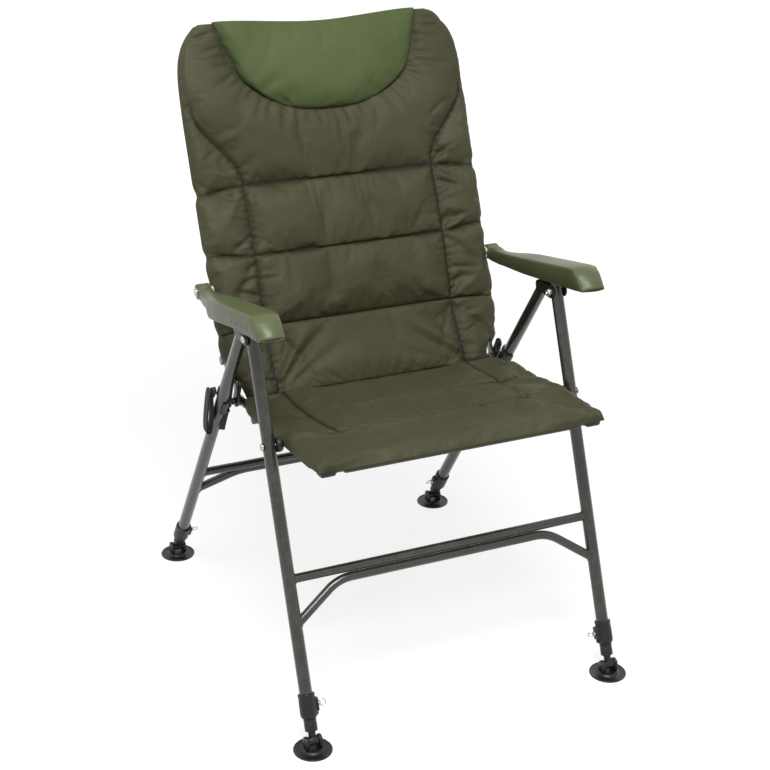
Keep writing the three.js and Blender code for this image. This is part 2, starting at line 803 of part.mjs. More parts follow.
const frontTubeEnd = seatRailX - cornerHalf - seatGap;
const frontSeatTube = (radius, bore, sides) =>
  straight(
    seatPoint(-frontTubeEnd, seatFrontTubeAt, 0),
    seatPoint(frontTubeEnd, seatFrontTubeAt, 0),
    radius,
    bore,
    sides,
  );

function makeSeatCorner({ word, sign }) {
  const x = sign * seatRailX;
  const outline = [];
  const [half, high] = [cornerHalf, cornerHalfHeight];
  const rounding = 4;
  const turns = rounding * 3;
  for (let i = 0; i < turns; i += 1) {
    const angle = (2 * Math.PI * (i + 0.5)) / turns;
    const bulge = (value) => Math.sign(value) * Math.sqrt(Math.abs(value));
    const s = seatFrontTubeAt + half * bulge(Math.cos(angle));
    outline.push(seatPoint(0, s, high * bulge(Math.sin(angle))));
  }
  const block = plateAcross(outline, x - half, x + half);
  const spigot = seatTubeBore - seatGap;
  const intoRail = straight(
    seatPoint(x, railEnd - spigotLength, 0),
    seatPoint(x, seatFrontTubeAt, 0),
    spigot,
  );
  const centre = seatPoint(0, seatFrontTubeAt, 0);
  const intoFront = barAcross(centre, sign * (frontTubeEnd - spigotLength), x, spigot, tubeSides);
  addMesh(`seat_corner_${word}`, unite(block, intoRail, intoFront), blackPlastic);
}

// Back tube: one tube bent over the top, with a flat tongue at each end
const backTubeLine = (start, bends = backBendSteps) =>
  bentLine(
    [
      backPoint(-backTubeX, start, 0),
      backPoint(-backTubeX, backTopTubeAt, 0),
      backPoint(backTubeX, backTopTubeAt, 0),
      backPoint(backTubeX, start, 0),
    ],
    backBendRadius,
    bends,
  );

const lowBackTube = (radius, bore, reach = backTubeX + seatTubeRadius) =>
  straight(
    backPoint(-reach, backLowTubeAt, -2 * seatTubeRadius),
    backPoint(reach, backLowTubeAt, -2 * seatTubeRadius),
    radius,
    bore,
  );

function makeBackTube() {
  const tube = along(backTubeLine(tubeStartFromHinge), seatTubeRadius, seatTubeBore);
  const tongues = sides.map(({ sign }) => tongue(backDir, sign * backTongueX));
  const bolts = sides.map(({ sign }) =>
    barAcross(armPivot, sign * backTubeX, sign * armHubOut, boltHole),
  );
  const hinges = sides.map(({ sign }) => hingeHole(sign));
  const lowTube = lowBackTube(seatTubeRadius + seatGap, 0, backTubeX + 2 * seatTubeRadius);
  addMesh("back_tube", cut(unite(tube, ...tongues), ...hinges, ...bolts, lowTube), tubePaint);
}

// Hinge bolt with the black plate that carries the recline stop
const plateX = backTongueX + tongueThick / 2 + seatGap;
const hingeBoltEnd = backTubeX + seatTubeRadius;

function makeHingePlate({ word, sign }) {
  const innerFace = railTongueX - tongueThick / 2 - seatGap;
  const head = barAcross(hinge, sign * (innerFace - boltHeadHeight), sign * innerFace, boltHeadRadius);
  const shaft = barAcross(hinge, sign * innerFace, sign * hingeBoltEnd, boltRadius);
  const tip = point(hinge.y - plateTipForward, hinge.z + plateTipUp);
  const outline = boneOutline(hinge, plateEyeRadius, tip, plateTipRadius);
  const plate = plateAcross(outline, sign * plateX, sign * (plateX + plateThick));
  const nut = barAcross(hinge, sign * plateX, sign * hingeBoltEnd, boltHeadRadius, 6);
  addMesh(`hinge_plate_${word}`, unite(head, shaft, plate, nut), blackSteel);
}

// Slide saddle that carries the hinge on the rear leg
function makeSaddle({ word, sign }) {
  const x = sign * legHalfSpan;
  const [low, high] = [hingeAt - saddleLength / 2, hingeAt + saddleLength / 2];
  const bore = legRadius + seatGap;
  const clip = turned(rearFoot, rearLegDir, x, [
    [bore, low],
    [bore + saddleWall, low],
    [bore + saddleWall, high],
    [bore, high],
    [bore, low],
  ]);
  const bossFace = sign * (hingeBoltEnd + saddleGapToNut);
  const boss = barAcross(hinge, bossFace, x, saddleBossRadius, tubeSides);
  const wide = point(hinge.y, hinge.z);
  const open = barAcross(
    wide,
    sign * (legHalfSpan + saddleOpenPastAxis),
    sign * (legHalfSpan + saddleLength),
    saddleLength,
  );
  const tube = legBody(rearFoot, rearLegDir, x, low - saddleLength, high + saddleLength);
  addMesh(`slide_saddle_${word}`, cut(unite(clip, boss), tube, open), blackPlastic);
}

// Armrest bolt with the washer between back tube and armrest
function makeArmBolt({ word, sign }) {
  const washerIn = backTubeX + seatTubeRadius + seatGap;
  const washerOut = armHubIn - seatGap;
  const headStart = armHubOut + seatGap;
  const shaft = barAcross(armPivot, sign * backTubeX, sign * headStart, boltRadius);
  const washer = barAcross(armPivot, sign * washerIn, sign * washerOut, armBoltWasherRadius);
  const headEnd = sign * (headStart + boltHeadHeight);
  const head = barAcross(armPivot, sign * headStart, headEnd, boltHeadRadius);
  addMesh(`armrest_bolt_${word}`, unite(shaft, washer, head), brightSteel);
}

// One section of the armrest's outside: flat underside, rounded upper edges, a slight crown
function armRing({ at, inner, outer, top, low }, sign) {
  const edge = Math.min(armEdgeRadius, (top - low) / 2);
  const place = (x, t) => armPoint(sign * x, at, t);
  const roundShares = [0, 0.3, 1];
  const roundDrop = (share) => edge * (1 - Math.sqrt(1 - (1 - share) ** 2));
  const innerTop = roundShares.map((share) => place(inner + edge * share, top - roundDrop(share)));
  const outerTop = roundShares.map((share) => place(outer - edge * share, top - roundDrop(share)));
  const middle = place((inner + outer) / 2, top + armCrown);
  return [place(inner, low), ...innerTop, middle, ...outerTop.reverse(), place(outer, low)];
}

// The armrest's faces at a distance from its pivot, between its stations
function armAt(at) {
  const next = Math.max(1, armStations.findIndex((station) => station.at >= at));
  const [a, b] = [armStations[next - 1], armStations[next]];
  const share = (at - a.at) / (b.at - a.at);
  const blend = (key) => a[key] + (b[key] - a[key]) * share;
  return { at, inner: blend("inner"), outer: blend("outer"), top: blend("top"), low: blend("low") };
}

function armChannel(sign) {
  const middle = armStations.filter(({ at }) => at > channelStart && at < channelEnd);
  const stations = [armAt(channelStart), ...middle, armAt(channelEnd)];
  const rings = stations.map(({ at, inner, outer, top, low }) => {
    const roof = Math.min(top - armCeiling, armStations[8].top - armCeiling);
    const floor = low - armEdgeRadius;
    return [
      armPoint(sign * (inner + armWall), at, floor),
      armPoint(sign * (inner + armWall), at, roof),
      armPoint(sign * (outer - armWall), at, roof),
      armPoint(sign * (outer - armWall), at, floor),
    ];
  });
  return loft(rings);
}

const pegLocal = {
  at: peg.clone().sub(armPivot).dot(armDir),
  up: peg.clone().sub(armPivot).dot(armNormal),
};

function makeArmrest({ word, sign }) {
  const outside = loft(armStations.map((station) => armRing(station, sign)));
  const shell = cut(outside, armChannel(sign));
  const hub = barAcross(armPivot, sign * armHubIn, sign * armHubOut, armHubRadius, tubeSides);
  const rackLow = pegLocal.up + boltRadius + rackOverPeg;
  const rackOut = armAt(rackStart).outer - armWall / 2;
  const roof = armAt(rackStart).top - armCeiling / 2;
  const rack = boxIn(armPoint, sign * rackInX, sign * rackOut, rackStart, rackEnd, rackLow, roof);
  const notches = Array.from({ length: notchCount }, (_, i) => {
    const at = pegLocal.at + i * notchPitch;
    const place = armPoint(0, at, rackLow + notchDepth - notchRadius);
    return barAcross(place, sign * (rackInX - armWall), sign * (rackOut - armWall), notchRadius);
  });
  const witnessHoles = Array.from({ length: notchCount }, (_, i) => {
    const place = armPoint(0, pegLocal.at + i * notchPitch, pegLocal.up);
    const from = sign * (rackOut - armWall);
    return barAcross(place, from, from + sign * armHubRadius, witnessHoleRadius, holeSides);
  });
  const boltBore = barAcross(armPivot, 0, sign * (armHubOut + armHubRadius), boltHole);
  const body = cut(unite(shell, hub, cut(rack, ...notches)), boltBore, ...witnessHoles);
  addMesh(`armrest_${word}`, body, greenPlastic);
}

// Stations between seams: each has its place and how far the padding has risen there
function stationsBetween(marks, shares) {
  const stations = [];
  for (let i = 0; i < marks.length - 1; i += 1) {
    shares[i].forEach((share) => {
      const place = marks[i] + (marks[i + 1] - marks[i]) * share;
      stations.push({ place, share, panel: i, rise: 1 - (2 * share - 1) ** 2 });
    });
  }
  const last = marks.length - 2;
  stations.push({ place: marks[marks.length - 1], share: 1, panel: last, rise: 0 });
  return stations;
}

// A cushion over a grid of places: a top and an underside, joined round the rim
function cushion(columns, rows, placeOf) {
  const wide = rows.length;
  const count = columns.length * wide;
  const positions = [];
  ["top", "bottom"].forEach((face) =>
    columns.forEach((column) =>
      rows.forEach((row) => {
        const p = placeOf(column, row, face);
        positions.push(p.x, p.y, p.z);
      }),
    ),
  );
  const faces = [];
  for (let i = 0; i < columns.length - 1; i += 1) {
    for (let j = 0; j < wide - 1; j += 1) {
      const a = i * wide + j;
      const [b, c, d] = [a + 1, a + wide + 1, a + wide];
      faces.push(a, d, c, a, c, b);
      faces.push(count + a, count + c, count + d, count + a, count + b, count + c);
    }
  }
  const rim = [];
  for (let i = 0; i < columns.length - 1; i += 1) rim.push(i * wide);
  for (let j = 0; j < wide - 1; j += 1) rim.push((columns.length - 1) * wide + j);
  for (let i = columns.length - 1; i > 0; i -= 1) rim.push(i * wide + wide - 1);
  for (let j = wide - 1; j > 0; j -= 1) rim.push(j);
  rim.forEach((a, k) => {
    const b = rim[(k + 1) % rim.length];
    faces.push(a, count + a, count + b, a, count + b, b);
  });
  const geometry = new THREE.BufferGeometry();
  geometry.setAttribute("position", new THREE.Float32BufferAttribute(positions, 3));
  geometry.setIndex(faces);
  return solid(geometry);
}

const middleShares = [0, 0.07, 0.35, 0.65, 0.93];
const outwardShares = [0, 0.1, 0.55, 0.92];
const inwardShares = [0, 0.08, 0.45, 0.9];
const columnShares = [inwardShares, middleShares, outwardShares];
const rowShares = [0, 0.1, 0.5, 0.9];
const smooth = (value) => {
  const t = THREE.MathUtils.clamp(value, 0, 1);
  return t * t * (3 - 2 * t);
};

// How full a cushion is across: 0 at its outer rim, 1 away from it
const rimFill = (fromEdge, depth) =>
  Math.sqrt(1 - (1 - THREE.MathUtils.clamp(fromEdge / depth, 0, 1)) ** 2);

// A seam's outer panel stretched or narrowed to a rim that isn't where its column stands
const fitOuter = (place, seam, newSeam, rim, newRim) => {
  const out = Math.abs(place);
  if (out <= seam) return (place * newSeam) / seam;
  return Math.sign(place) * (newSeam + ((out - seam) * (newRim - newSeam)) / (rim - seam));
};

// The hem's height over a tube whose centre line is a distance away
const hemOver = (distance) => Math.sqrt(Math.max(hemRadius ** 2 - distance ** 2, 0));

// Top and underside of a pad at one place, from its fill, its crown and the hem over its tubes
function padHeight(face, { fill, full, under, hem, wedge }) {
  if (face === "bottom") return -Math.max(rimHalf + (under - rimHalf) * fill, hem);
  return Math.min(Math.max(rimHalf + (full - rimHalf) * fill, hem), wedge);
}

// Seat pad: three cross channels between two long seams, a roll over the front tube
function seatPadPlace(column, row, face) {
  const s = row.place;
  const widening = smooth(s / seatPadWidens);
  const half = seatPadRearHalf + (seatPadHalf - seatPadRearHalf) * widening;
  const x = fitOuter(column.place, seatSeamX, seatSeamX, seatPadHalf, half);
  const toFront = smooth((s - seatSeams[0]) / (seatSeams[1] - seatSeams[0]));
  const base = seatPadBase + (seatPadFrontBase - seatPadBase) * toFront;
  const sideFill = rimFill(half - Math.abs(x), seatRimDepth);
  const frontFill = rimFill(seatPadEnd - s, seatFrontRimDepth);
  const railAway = Math.abs(Math.abs(x) - seatRailX);
  const frontAway = Math.abs(s - seatFrontTubeAt);
  const nearCorner = Math.max(railAway, frontAway) < seatCornerReach;
  const height = padHeight(face, {
    fill: sideFill * frontFill,
    full: base + seatPadCrown * Math.sqrt(column.rise * row.rise),
    under: nearCorner ? seatCornerUnder : seatPadUnder,
    hem: nearCorner ? 0 : hemOver(Math.min(railAway, frontAway)),
    wedge: s * seatWedgeShare,
  });
  return seatPoint(x, s, height);
}

const seatRows = stationsBetween([seatPadStart, ...seatSeams, seatPadEnd], [
  rowShares,
  rowShares,
  rowShares,
]);
const seatMarks = [-seatPadHalf, -seatSeamX, seatSeamX, seatPadHalf];
const seatColumns = stationsBetween(seatMarks, columnShares);

function cornerRoom({ sign }) {
  const low = sign * seatRailX - cornerHalf - seatGap;
  const high = sign * seatRailX + cornerHalf + seatGap;
  const [near, far] = [seatFrontTubeAt - cornerHalf - seatGap, seatFrontTubeAt + cornerHalf + seatGap];
  const room = cornerHalfHeight + seatGap;
  return boxIn(seatPoint, low, high, near, far, -room, room);
}

// The tunnel in a pad's hem is an eight-sided one that clears the round tube
const tunnelRadius = (seatTubeRadius + seatGap) / Math.cos(Math.PI / tunnelSides);

// Room in a pad for the flat tongue of one side
function tongueRoom(placeOf, tongueX) {
  const low = tongueX - tongueThick / 2 - seatGap;
  const high = tongueX + tongueThick / 2 + seatGap;
  const tall = tongueHalfHeight + seatGap;
  return boxIn(placeOf, low, high, 0, tubeStartFromHinge + tongueIntoTube, -tall, tall);
}

function makeSeatPad() {
  const body = cushion(seatColumns, seatRows, seatPadPlace);
  const railTunnel = ({ sign }) =>
    straight(
      seatPoint(sign * seatRailX, tubeStartFromHinge - seatGap, 0),
      seatPoint(sign * seatRailX, seatFrontTubeAt, 0),
      tunnelRadius,
      0,
      tunnelSides,
    );
  const tools = [
    ...sides.map(railTunnel),
    ...sides.map(({ sign }) => tongueRoom(seatPoint, sign * railTongueX)),
    frontSeatTube(tunnelRadius, 0, tunnelSides),
    rearSeatTube(seatTubeRadius + seatGap, 0),
    ...sides.map(cornerRoom),
    ...sides.map(({ sign }) =>
      barAcross(seatPivot, sign * seatRailX, sign * legHalfSpan, boltHole),
    ),
  ];
  addMesh("seat_pad", cut(body, ...tools), oliveFabric);
}

// How far a place on the back is from the centre line of its bent tube
function backTubeAway(x, s) {
  const bendX = backTubeX - backBendRadius;
  const bendS = backTopTubeAt - backBendRadius;
  const out = Math.abs(x);
  if (s < bendS) return Math.abs(out - backTubeX);
  if (out < bendX) return Math.abs(s - backTopTubeAt);
  return Math.abs(Math.hypot(out - bendX, s - bendS) - backBendRadius);
}

const backRows = stationsBetween(
  [backPadStart, ...backSeams, headrestSeam, backPadTopCentre],
  [rowShares, rowShares, rowShares, rowShares, [0, 0.3, 0.62, 0.8, 0.88, 0.95]],
);
const backMarks = [-backPadHalf, -backSeamX, backSeamX, backPadHalf];
const backOutwardShares = [0, 0.12, 0.5, 0.76, 0.93];
const backInwardShares = [0, 0.07, 0.24, 0.5, 0.88];
const backColumns = stationsBetween(backMarks, [
  backInwardShares,
  middleShares,
  backOutwardShares,
]);

// Back pad: four cross channels between two long seams that swing out to the shoulders
function backPadPlace(column, row, face) {
  const above = row.panel === backSeams.length + 1 ? row.share : 0;
  const out = Math.abs(column.place) / backPadHalf;
  const horn = backPadTopHorn * smooth((out * backPadHalf) / backHornX);
  const corner = backPadCornerDrop * smooth(2 * out - 1) * above;
  const s = row.place + (horn - corner) * above;
  const widening = smooth(s / backPadWidens);
  const lowHalf = backPadLowHalf + (backPadHalf - backPadLowHalf) * widening;
  const half = lowHalf - backPadCornerIn * above ** 4.5;
  const swing = smooth((s - shoulderStart) / (shoulderEnd - shoulderStart));
  const seam = backSeamX + (Math.min(shoulderSeamEnd, half - backRimDepth) - backSeamX) * swing;
  const x = fitOuter(column.place, backSeamX, seam, backPadHalf, half);
  const crown = row.panel <= backSeams.length ? Math.sqrt(column.rise * row.rise) : 0;
  const topFill = rimFill((1 - above) * (backPadTopCentre - headrestSeam), backRimDepth);
  const height = padHeight(face, {
    fill: rimFill(half - Math.abs(x), backRimDepth) * topFill,
    full: backPadBase + backPadCrown * crown,
    under: backPadUnder,
    hem: hemOver(backTubeAway(x, s)),
    wedge: s * backWedgeShare,
  });
  return backPoint(x, s, height);
}

// Headrest: a smooth pillow over the top of the back pad
const headrestRowShares = [0, 0.06, 0.2, 0.45, 0.7, 0.9, 0.97];
const headrestColumnShares = [0, 0.03, 0.12, 0.3, 0.5, 0.7, 0.88, 0.97];
const headrestRows = stationsBetween([0, 1], [headrestRowShares]);
const headrestColumns = stationsBetween([-1, 1], [headrestColumnShares]);

function headrestPlace(column, row, face) {
  const out = Math.abs(column.place);
  const low = headrestBottom + headrestSideRise * out ** 2.5;
  const high = headrestTopEdge + backPadTopHorn * smooth(out);
  const s = low + (high - low) * row.place;
  const half = headrestLowHalf + (headrestTopHalf - headrestLowHalf) * row.place ** 0.8;
  const x = column.place * half;
  if (face === "bottom") return backPoint(x, s, headrestInset);
  const fill = Math.min(rimFill(half - Math.abs(x), headrestRimDepth), rimFill(s - low, headrestRimDepth));
  const topFill = rimFill(high - s, headrestRimDepth);
  return backPoint(x, s, headrestRim + (headrestThick - headrestRim) * fill * topFill);
}

function makeBackPads() {
  const pad = cushion(backColumns, backRows, backPadPlace);
  const tongues = sides.map(({ sign }) => tongueRoom(backPoint, sign * backTongueX));
  const washerRoom = (armBoltWasherRadius + seatGap) / Math.cos(Math.PI / boltSides);
  const washers = sides.map(({ sign }) => {
    const from = sign * (backTubeX + seatTubeRadius);
    return barAcross(armPivot, from, sign * legHalfSpan, washerRoom);
  });
  const bolts = sides.map(({ sign }) =>
    barAcross(armPivot, sign * backTubeX, sign * legHalfSpan, boltHole),
  );
  const tunnelLine = backTubeLine(tubeStartFromHinge - seatGap);
  const tunnel = along(tunnelLine, tunnelRadius, 0, tunnelSides);
  const lowTube = lowBackTube(seatTubeRadius + seatGap, 0, backTubeX + 2 * seatTubeRadius);
  const tools = [tunnel, lowTube, ...tongues, ...washers, ...bolts];
  addMesh("back_pad", cut(pad, ...tools), oliveFabric);
  const lift = backNormal.clone().multiplyScalar(headrestGap);
  const raised = pad.translate(lift.x, lift.y, lift.z);
  const pillow = cushion(headrestColumns, headrestRows, headrestPlace);
  addMesh("headrest_pad", middlePart(cut(pillow, raised, tunnel)), greenFabric);
}

// Closing strap: a ring of webbing round the left rear leg, a hanging loop and a tail
function makeStrap() {
  const x = -legHalfSpan;
  const inner = legRadius + seatGap;
  const outer = inner + strapThick;
  const [low, high] = [strapUp - strapWidth / 2, strapUp + strapWidth / 2];
  const band = turned(rearFoot, rearLegDir, x, [
    [inner, low],
    [outer, low],
    [outer, high],
    [inner, high],
    [inner, low],
  ]);
  const loopHalf = (strapOuterX - legHalfSpan - inner) / 2;
  const loopX = -(legHalfSpan + inner + loopHalf);
  const hang = (radius) => {
    const turns = 8;
    const outline = [];
    for (let i = 0; i <= turns; i += 1) {
      const angle = (Math.PI * i) / turns;
      outline.push([radius * Math.cos(angle), strapLoopTop - loopHalf + radius * Math.sin(angle)]);
    }
    for (let i = 0; i <= turns; i += 1) {
      const angle = Math.PI + (Math.PI * i) / turns;
      outline.push([radius * Math.cos(angle), strapLoopBottom + loopHalf + radius * Math.sin(angle)]);
    }
    const shape = new THREE.Shape(outline.map(([a, b]) => new THREE.Vector2(a, b)));
    const depth = strapWidth;
    const geometry = new THREE.ExtrudeGeometry(shape, { depth, bevelEnabled: false });
    geometry.applyMatrix4(new THREE.Matrix4().makeBasis(acrossAxis, point(0, 1), point(-1, 0)));
    geometry.translate(loopX, strapLoopY + strapWidth / 2, 0);
    return solid(geometry);
  };
  const loop = cut(hang(loopHalf), hang(loopHalf - strapThick));
  const forward = upFrom(rearLegDir);
  const behind = (up, away) => step(step(rearFoot, rearLegDir, up), forward, -away);
  const tailIn = outer + strapThick;
  const tailEnd = low - strapTailLength;
  const outline = [
    behind(high, inner + strapThick / 2),
    behind(high, outer),
    behind(low, tailIn + strapThick),
    behind(tailEnd, tailIn + strapThick),
    behind(tailEnd, tailIn),
    behind(low, tailIn),
    behind(strapUp, inner + strapThick / 2),
  ];
  const tailFrom = -(legHalfSpan - strapTailWidth / 2);
  const tail = plateAcross(outline, tailFrom - strapTailWidth / 2, tailFrom + strapTailWidth / 2);
  const tabRadius = strapWidth / 2;
  const tabFrom = step(rearFoot, rearLegDir, strapUp);
  const tabTo = point(strapLoopY, strapLoopTop - tabRadius);
  const tabOutline = boneOutline(tabFrom, tabRadius, tabTo, tabRadius);
  const tab = plateAcross(tabOutline, -(legHalfSpan + inner), -(legHalfSpan + outer));
  addMesh("closing_strap", unite(band, loop, tab, tail), blackWebbing);
}

sides.forEach(makeFrontLeg);
makeCrossTubes("front", frontFoot, frontLegDir, frontCrossUp, frontBraceUp, braceBendX);
sides.forEach(makeRearLeg);
makeCrossTubes("rear", rearFoot, rearLegDir, rearCrossUp, rearBraceUp, rearBraceBendX);
sides.forEach(makeKnuckle);
sides.forEach(makeApexBolt);
sides.forEach(makeArmrestPeg);
sides.forEach(makeSeatPivot);
sides.forEach(makeSeatRail);
addMesh("seat_front_tube", frontSeatTube(seatTubeRadius, seatTubeBore), tubePaint);
addMesh("seat_rear_tube", rearSeatTube(seatTubeRadius, seatTubeBore), tubePaint);
sides.forEach(makeSeatCorner);
makeBackTube();
addMesh("back_low_tube", lowBackTube(seatTubeRadius, seatTubeBore), tubePaint);
sides.forEach(makeHingePlate);
sides.forEach(makeSaddle);
sides.forEach(makeArmBolt);
sides.forEach(makeArmrest);
sides.forEach(({ word, sign }) => {
  const flat = new THREE.Vector3(0, 1, 0);
  makeCollar(`front_collar_${word}`, frontFoot, frontLegDir, sign);
  makeCollar(`rear_collar_${word}`, rearFoot, rearLegDir, sign);
  makePullPin(`front_pull_pin_${word}`, frontFoot, frontLegDir, sign, sign > 0 ? flat : frontLegDir);
  makePullPin(`rear_pull_pin_${word}`, rearFoot, rearLegDir, sign, rearLegDir);
  makeInnerLeg(`front_inner_leg_${word}`, frontFoot, frontLegDir, sign);
  makeInnerLeg(`rear_inner_leg_${word}`, rearFoot, rearLegDir, sign);
  makeFoot(`front_foot_${word}`, frontFoot, sign);
  makeFoot(`rear_foot_${word}`, rearFoot, sign);
});

makeSeatPad();
makeBackPads();
makeStrap();

export default chair;
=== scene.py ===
"""Carp fishing chair: a padded reclining chair on two crossed leg frames, dressed round its CAD frame.

Every size is in millimetres unless its name ends in _m. The front of the chair faces -Y, +Z is up.
"""

import logging
import math
from dataclasses import dataclass, replace
from enum import Enum
from typing import Callable, Sequence

import bmesh
import bpy
import numpy as np
from mathutils import Matrix, Vector
from mathutils.bvhtree import BVHTree


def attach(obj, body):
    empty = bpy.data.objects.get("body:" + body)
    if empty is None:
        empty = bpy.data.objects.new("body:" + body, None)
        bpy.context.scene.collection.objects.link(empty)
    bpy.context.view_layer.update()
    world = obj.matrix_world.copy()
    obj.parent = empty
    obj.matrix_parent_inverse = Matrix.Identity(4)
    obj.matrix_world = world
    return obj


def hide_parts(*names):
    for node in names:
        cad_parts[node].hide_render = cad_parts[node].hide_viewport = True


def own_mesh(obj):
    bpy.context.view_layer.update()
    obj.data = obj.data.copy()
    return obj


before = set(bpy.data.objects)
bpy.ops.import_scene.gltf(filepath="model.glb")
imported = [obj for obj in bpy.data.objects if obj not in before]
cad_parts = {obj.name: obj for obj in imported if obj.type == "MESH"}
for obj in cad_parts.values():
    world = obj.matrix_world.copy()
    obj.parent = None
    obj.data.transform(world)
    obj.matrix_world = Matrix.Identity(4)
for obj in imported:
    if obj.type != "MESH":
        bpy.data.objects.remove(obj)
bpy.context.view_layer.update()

LOG = logging.getLogger("chair")
METRES = 0.001  # one millimetre
ACROSS = np.array((1.0, 0.0, 0.0))
ROUND_SIDES = 40
SMALL_ROUND_SIDES = 24
DUST_COLOUR = (168, 160, 140)
TUBE_RADIUS = 8.5  # seat and back tubes
TUBE_WALL = 1.5
TUBE_FROM = 26.0  # where a pressed tube starts, from the hinge
TONGUE_HALF = 2.0  # half the thickness of a tube's flat tongue
TONGUE_TALL = 7.6  # half its height
BOLT_RADIUS = 4.0
BOLT_HEAD = (6.8, 3.6)  # a domed head's radius and height
PADDED_CLOTH = {"quality": 6, "mass": 0.25, "tension_stiffness": 22.0, "compression_stiffness": 22.0,
                "shear_stiffness": 6.0, "bending_stiffness": 0.25, "air_damping": 3.0,
                "use_pressure": True}


class Side(Enum):
    """The two sides of the chair as the photograph shows them."""

    LEFT = -1
    RIGHT = 1

    @property
    def word(self) -> str:
        """The side's word in the names of nodes and pieces."""
        return self.name.lower()


class End(Enum):
    """The two leg frames."""

    FRONT = "front"
    REAR = "rear"


def unit(vector: np.ndarray) -> np.ndarray:
    """The vector at length one."""
    return vector / np.linalg.norm(vector)


def units(rows: np.ndarray) -> np.ndarray:
    """A table of vectors, each at length one."""
    return rows / np.linalg.norm(rows, axis=1)[:, None]


def spokes(count: int, first: np.ndarray, second: np.ndarray) -> np.ndarray:
    """The corners of an even ring of radius one in the plane of two directions."""
    angles = np.arange(count) * 2.0 * math.pi / count
    return np.outer(np.cos(angles), first) + np.outer(np.sin(angles), second)


def smooth(value: np.ndarray) -> np.ndarray:
    """An S-shaped step from 0 to 1 as value goes from 0 to 1."""
    t = np.clip(value, 0.0, 1.0)
    return t * t * (3.0 - 2.0 * t)


def rounded_fill(distance: np.ndarray, depth: float) -> np.ndarray:
    """How full a cushion is at a distance from its edge: 0 at the edge, 1 from depth inwards."""
    return np.sqrt(1.0 - (1.0 - np.clip(distance / depth, 0.0, 1.0)) ** 2)


@dataclass(frozen=True)
class SideLine:
    """A straight line of the side view, such as a leg's axis or the plane of the seat."""

    start: np.ndarray
    way: np.ndarray
    turned_over: bool = False

    @property
    def normal(self) -> np.ndarray:
        """The direction square to the line in the side view."""
        square = np.array((0.0, -self.way[2], self.way[1]))
        return -square if self.turned_over else square

    def at(self, along: float, off: float = 0.0, x: float = 0.0) -> np.ndarray:
        """A point of the line.

        Args:
            along: distance from the line's start.
            off: distance from the line, along its normal.
            x: place across the chair.

        Returns:
            The point in millimetres.
        """
        return self.start + self.way * along + self.normal * off + ACROSS * x

    def sheet(self, x: np.ndarray, along: np.ndarray, off: np.ndarray) -> np.ndarray:
        """The points of a whole surface given over the line's plane."""
        flat = along[..., None] * self.way + off[..., None] * self.normal
        return self.start + flat + x[..., None] * ACROSS


@dataclass(frozen=True)
class ChairLayout:
    """Where the pivots, legs, seat and back of the open chair stand in its side view."""

    foot_y: float = 358.5
    foot_pivot_up: float = 19.0
    apex_y: float = -97.5
    apex_up: float = 650.0
    hinge_y: float = 69.5
    hinge_up: float = 460.0
    seat_pivot_drop: float = 181.6
    peg_rise: float = 31.4
    arm_pivot_rise: float = 202.0
    back_lean: float = math.radians(23.4)
    arm_slope: float = math.radians(12.5)
    leg_x: float = 290.0
    leg_radius: float = 11.0
    leg_wall: float = 1.5
    gap: float = 0.3

    @property
    def apex(self) -> np.ndarray:
        """The bolt that joins the tops of the front and rear legs."""
        return np.array((0.0, self.apex_y, self.apex_up))

    @property
    def hinge(self) -> np.ndarray:
        """The bolt that joins seat, back and slide saddle."""
        return np.array((0.0, self.hinge_y, self.hinge_up))

    def foot(self, end: End) -> np.ndarray:
        """The pivot of a foot."""
        y = -self.foot_y if end is End.FRONT else self.foot_y
        return np.array((0.0, y, self.foot_pivot_up))

    def leg(self, end: End) -> SideLine:
        """The axis of a leg, from its foot pivot upwards."""
        top = self.apex if end is End.FRONT else self.hinge
        return SideLine(self.foot(end), unit(top - self.foot(end)))

    @property
    def leg_inside(self) -> float:
        """The place across the chair that is just clear of a leg on its inner side."""
        return self.leg_x - self.leg_radius - self.gap

    @property
    def leg_outside(self) -> float:
        """The place across the chair that is just clear of a leg on its outer side."""
        return self.leg_x + self.leg_radius + self.gap

    @property
    def apex_at(self) -> float:
        """How far up the front leg the apex is."""
        return float(np.linalg.norm(self.apex - self.foot(End.FRONT)))

    @property
    def rear_apex_at(self) -> float:
        """How far up the rear leg's axis the apex is."""
        rear = self.leg(End.REAR)
        return float((self.apex - rear.start) @ rear.way)

    @property
    def hinge_at(self) -> float:
        """How far up the rear leg the hinge is."""
        return float(np.linalg.norm(self.hinge - self.foot(End.REAR)))

    @property
    def seat_pivot(self) -> np.ndarray:
        """The bolt that carries the seat on the front leg."""
        return self.apex - self.leg(End.FRONT).way * self.seat_pivot_drop

    @property
    def peg(self) -> np.ndarray:
        """The peg that the armrest's rack rests on."""
        return self.apex + self.leg(End.FRONT).way * self.peg_rise

    @property
    def seat(self) -> SideLine:
        """The plane of the seat, from the hinge forwards."""
        return SideLine(self.hinge, unit(self.seat_pivot - self.hinge), turned_over=True)

    @property
    def back(self) -> SideLine:
        """The plane of the back, from the hinge upwards."""
        way = np.array((0.0, math.sin(self.back_lean), math.cos(self.back_lean)))
        return SideLine(self.hinge, way)

    @property
    def arm_pivot(self) -> np.ndarray:
        """The bolt that carries the armrest on the back tube."""
        return self.back.at(self.arm_pivot_rise)

    @property
    def arm(self) -> SideLine:
        """The line of the armrest, from its pivot forwards."""
        way = np.array((0.0, -math.cos(self.arm_slope), math.sin(self.arm_slope)))
        return SideLine(self.arm_pivot, way, turned_over=True)


CHAIR = ChairLayout()


@dataclass
class Shell:
    """A closed surface, or several that make one piece, as points in millimetres and faces."""

    points: np.ndarray
    faces: list


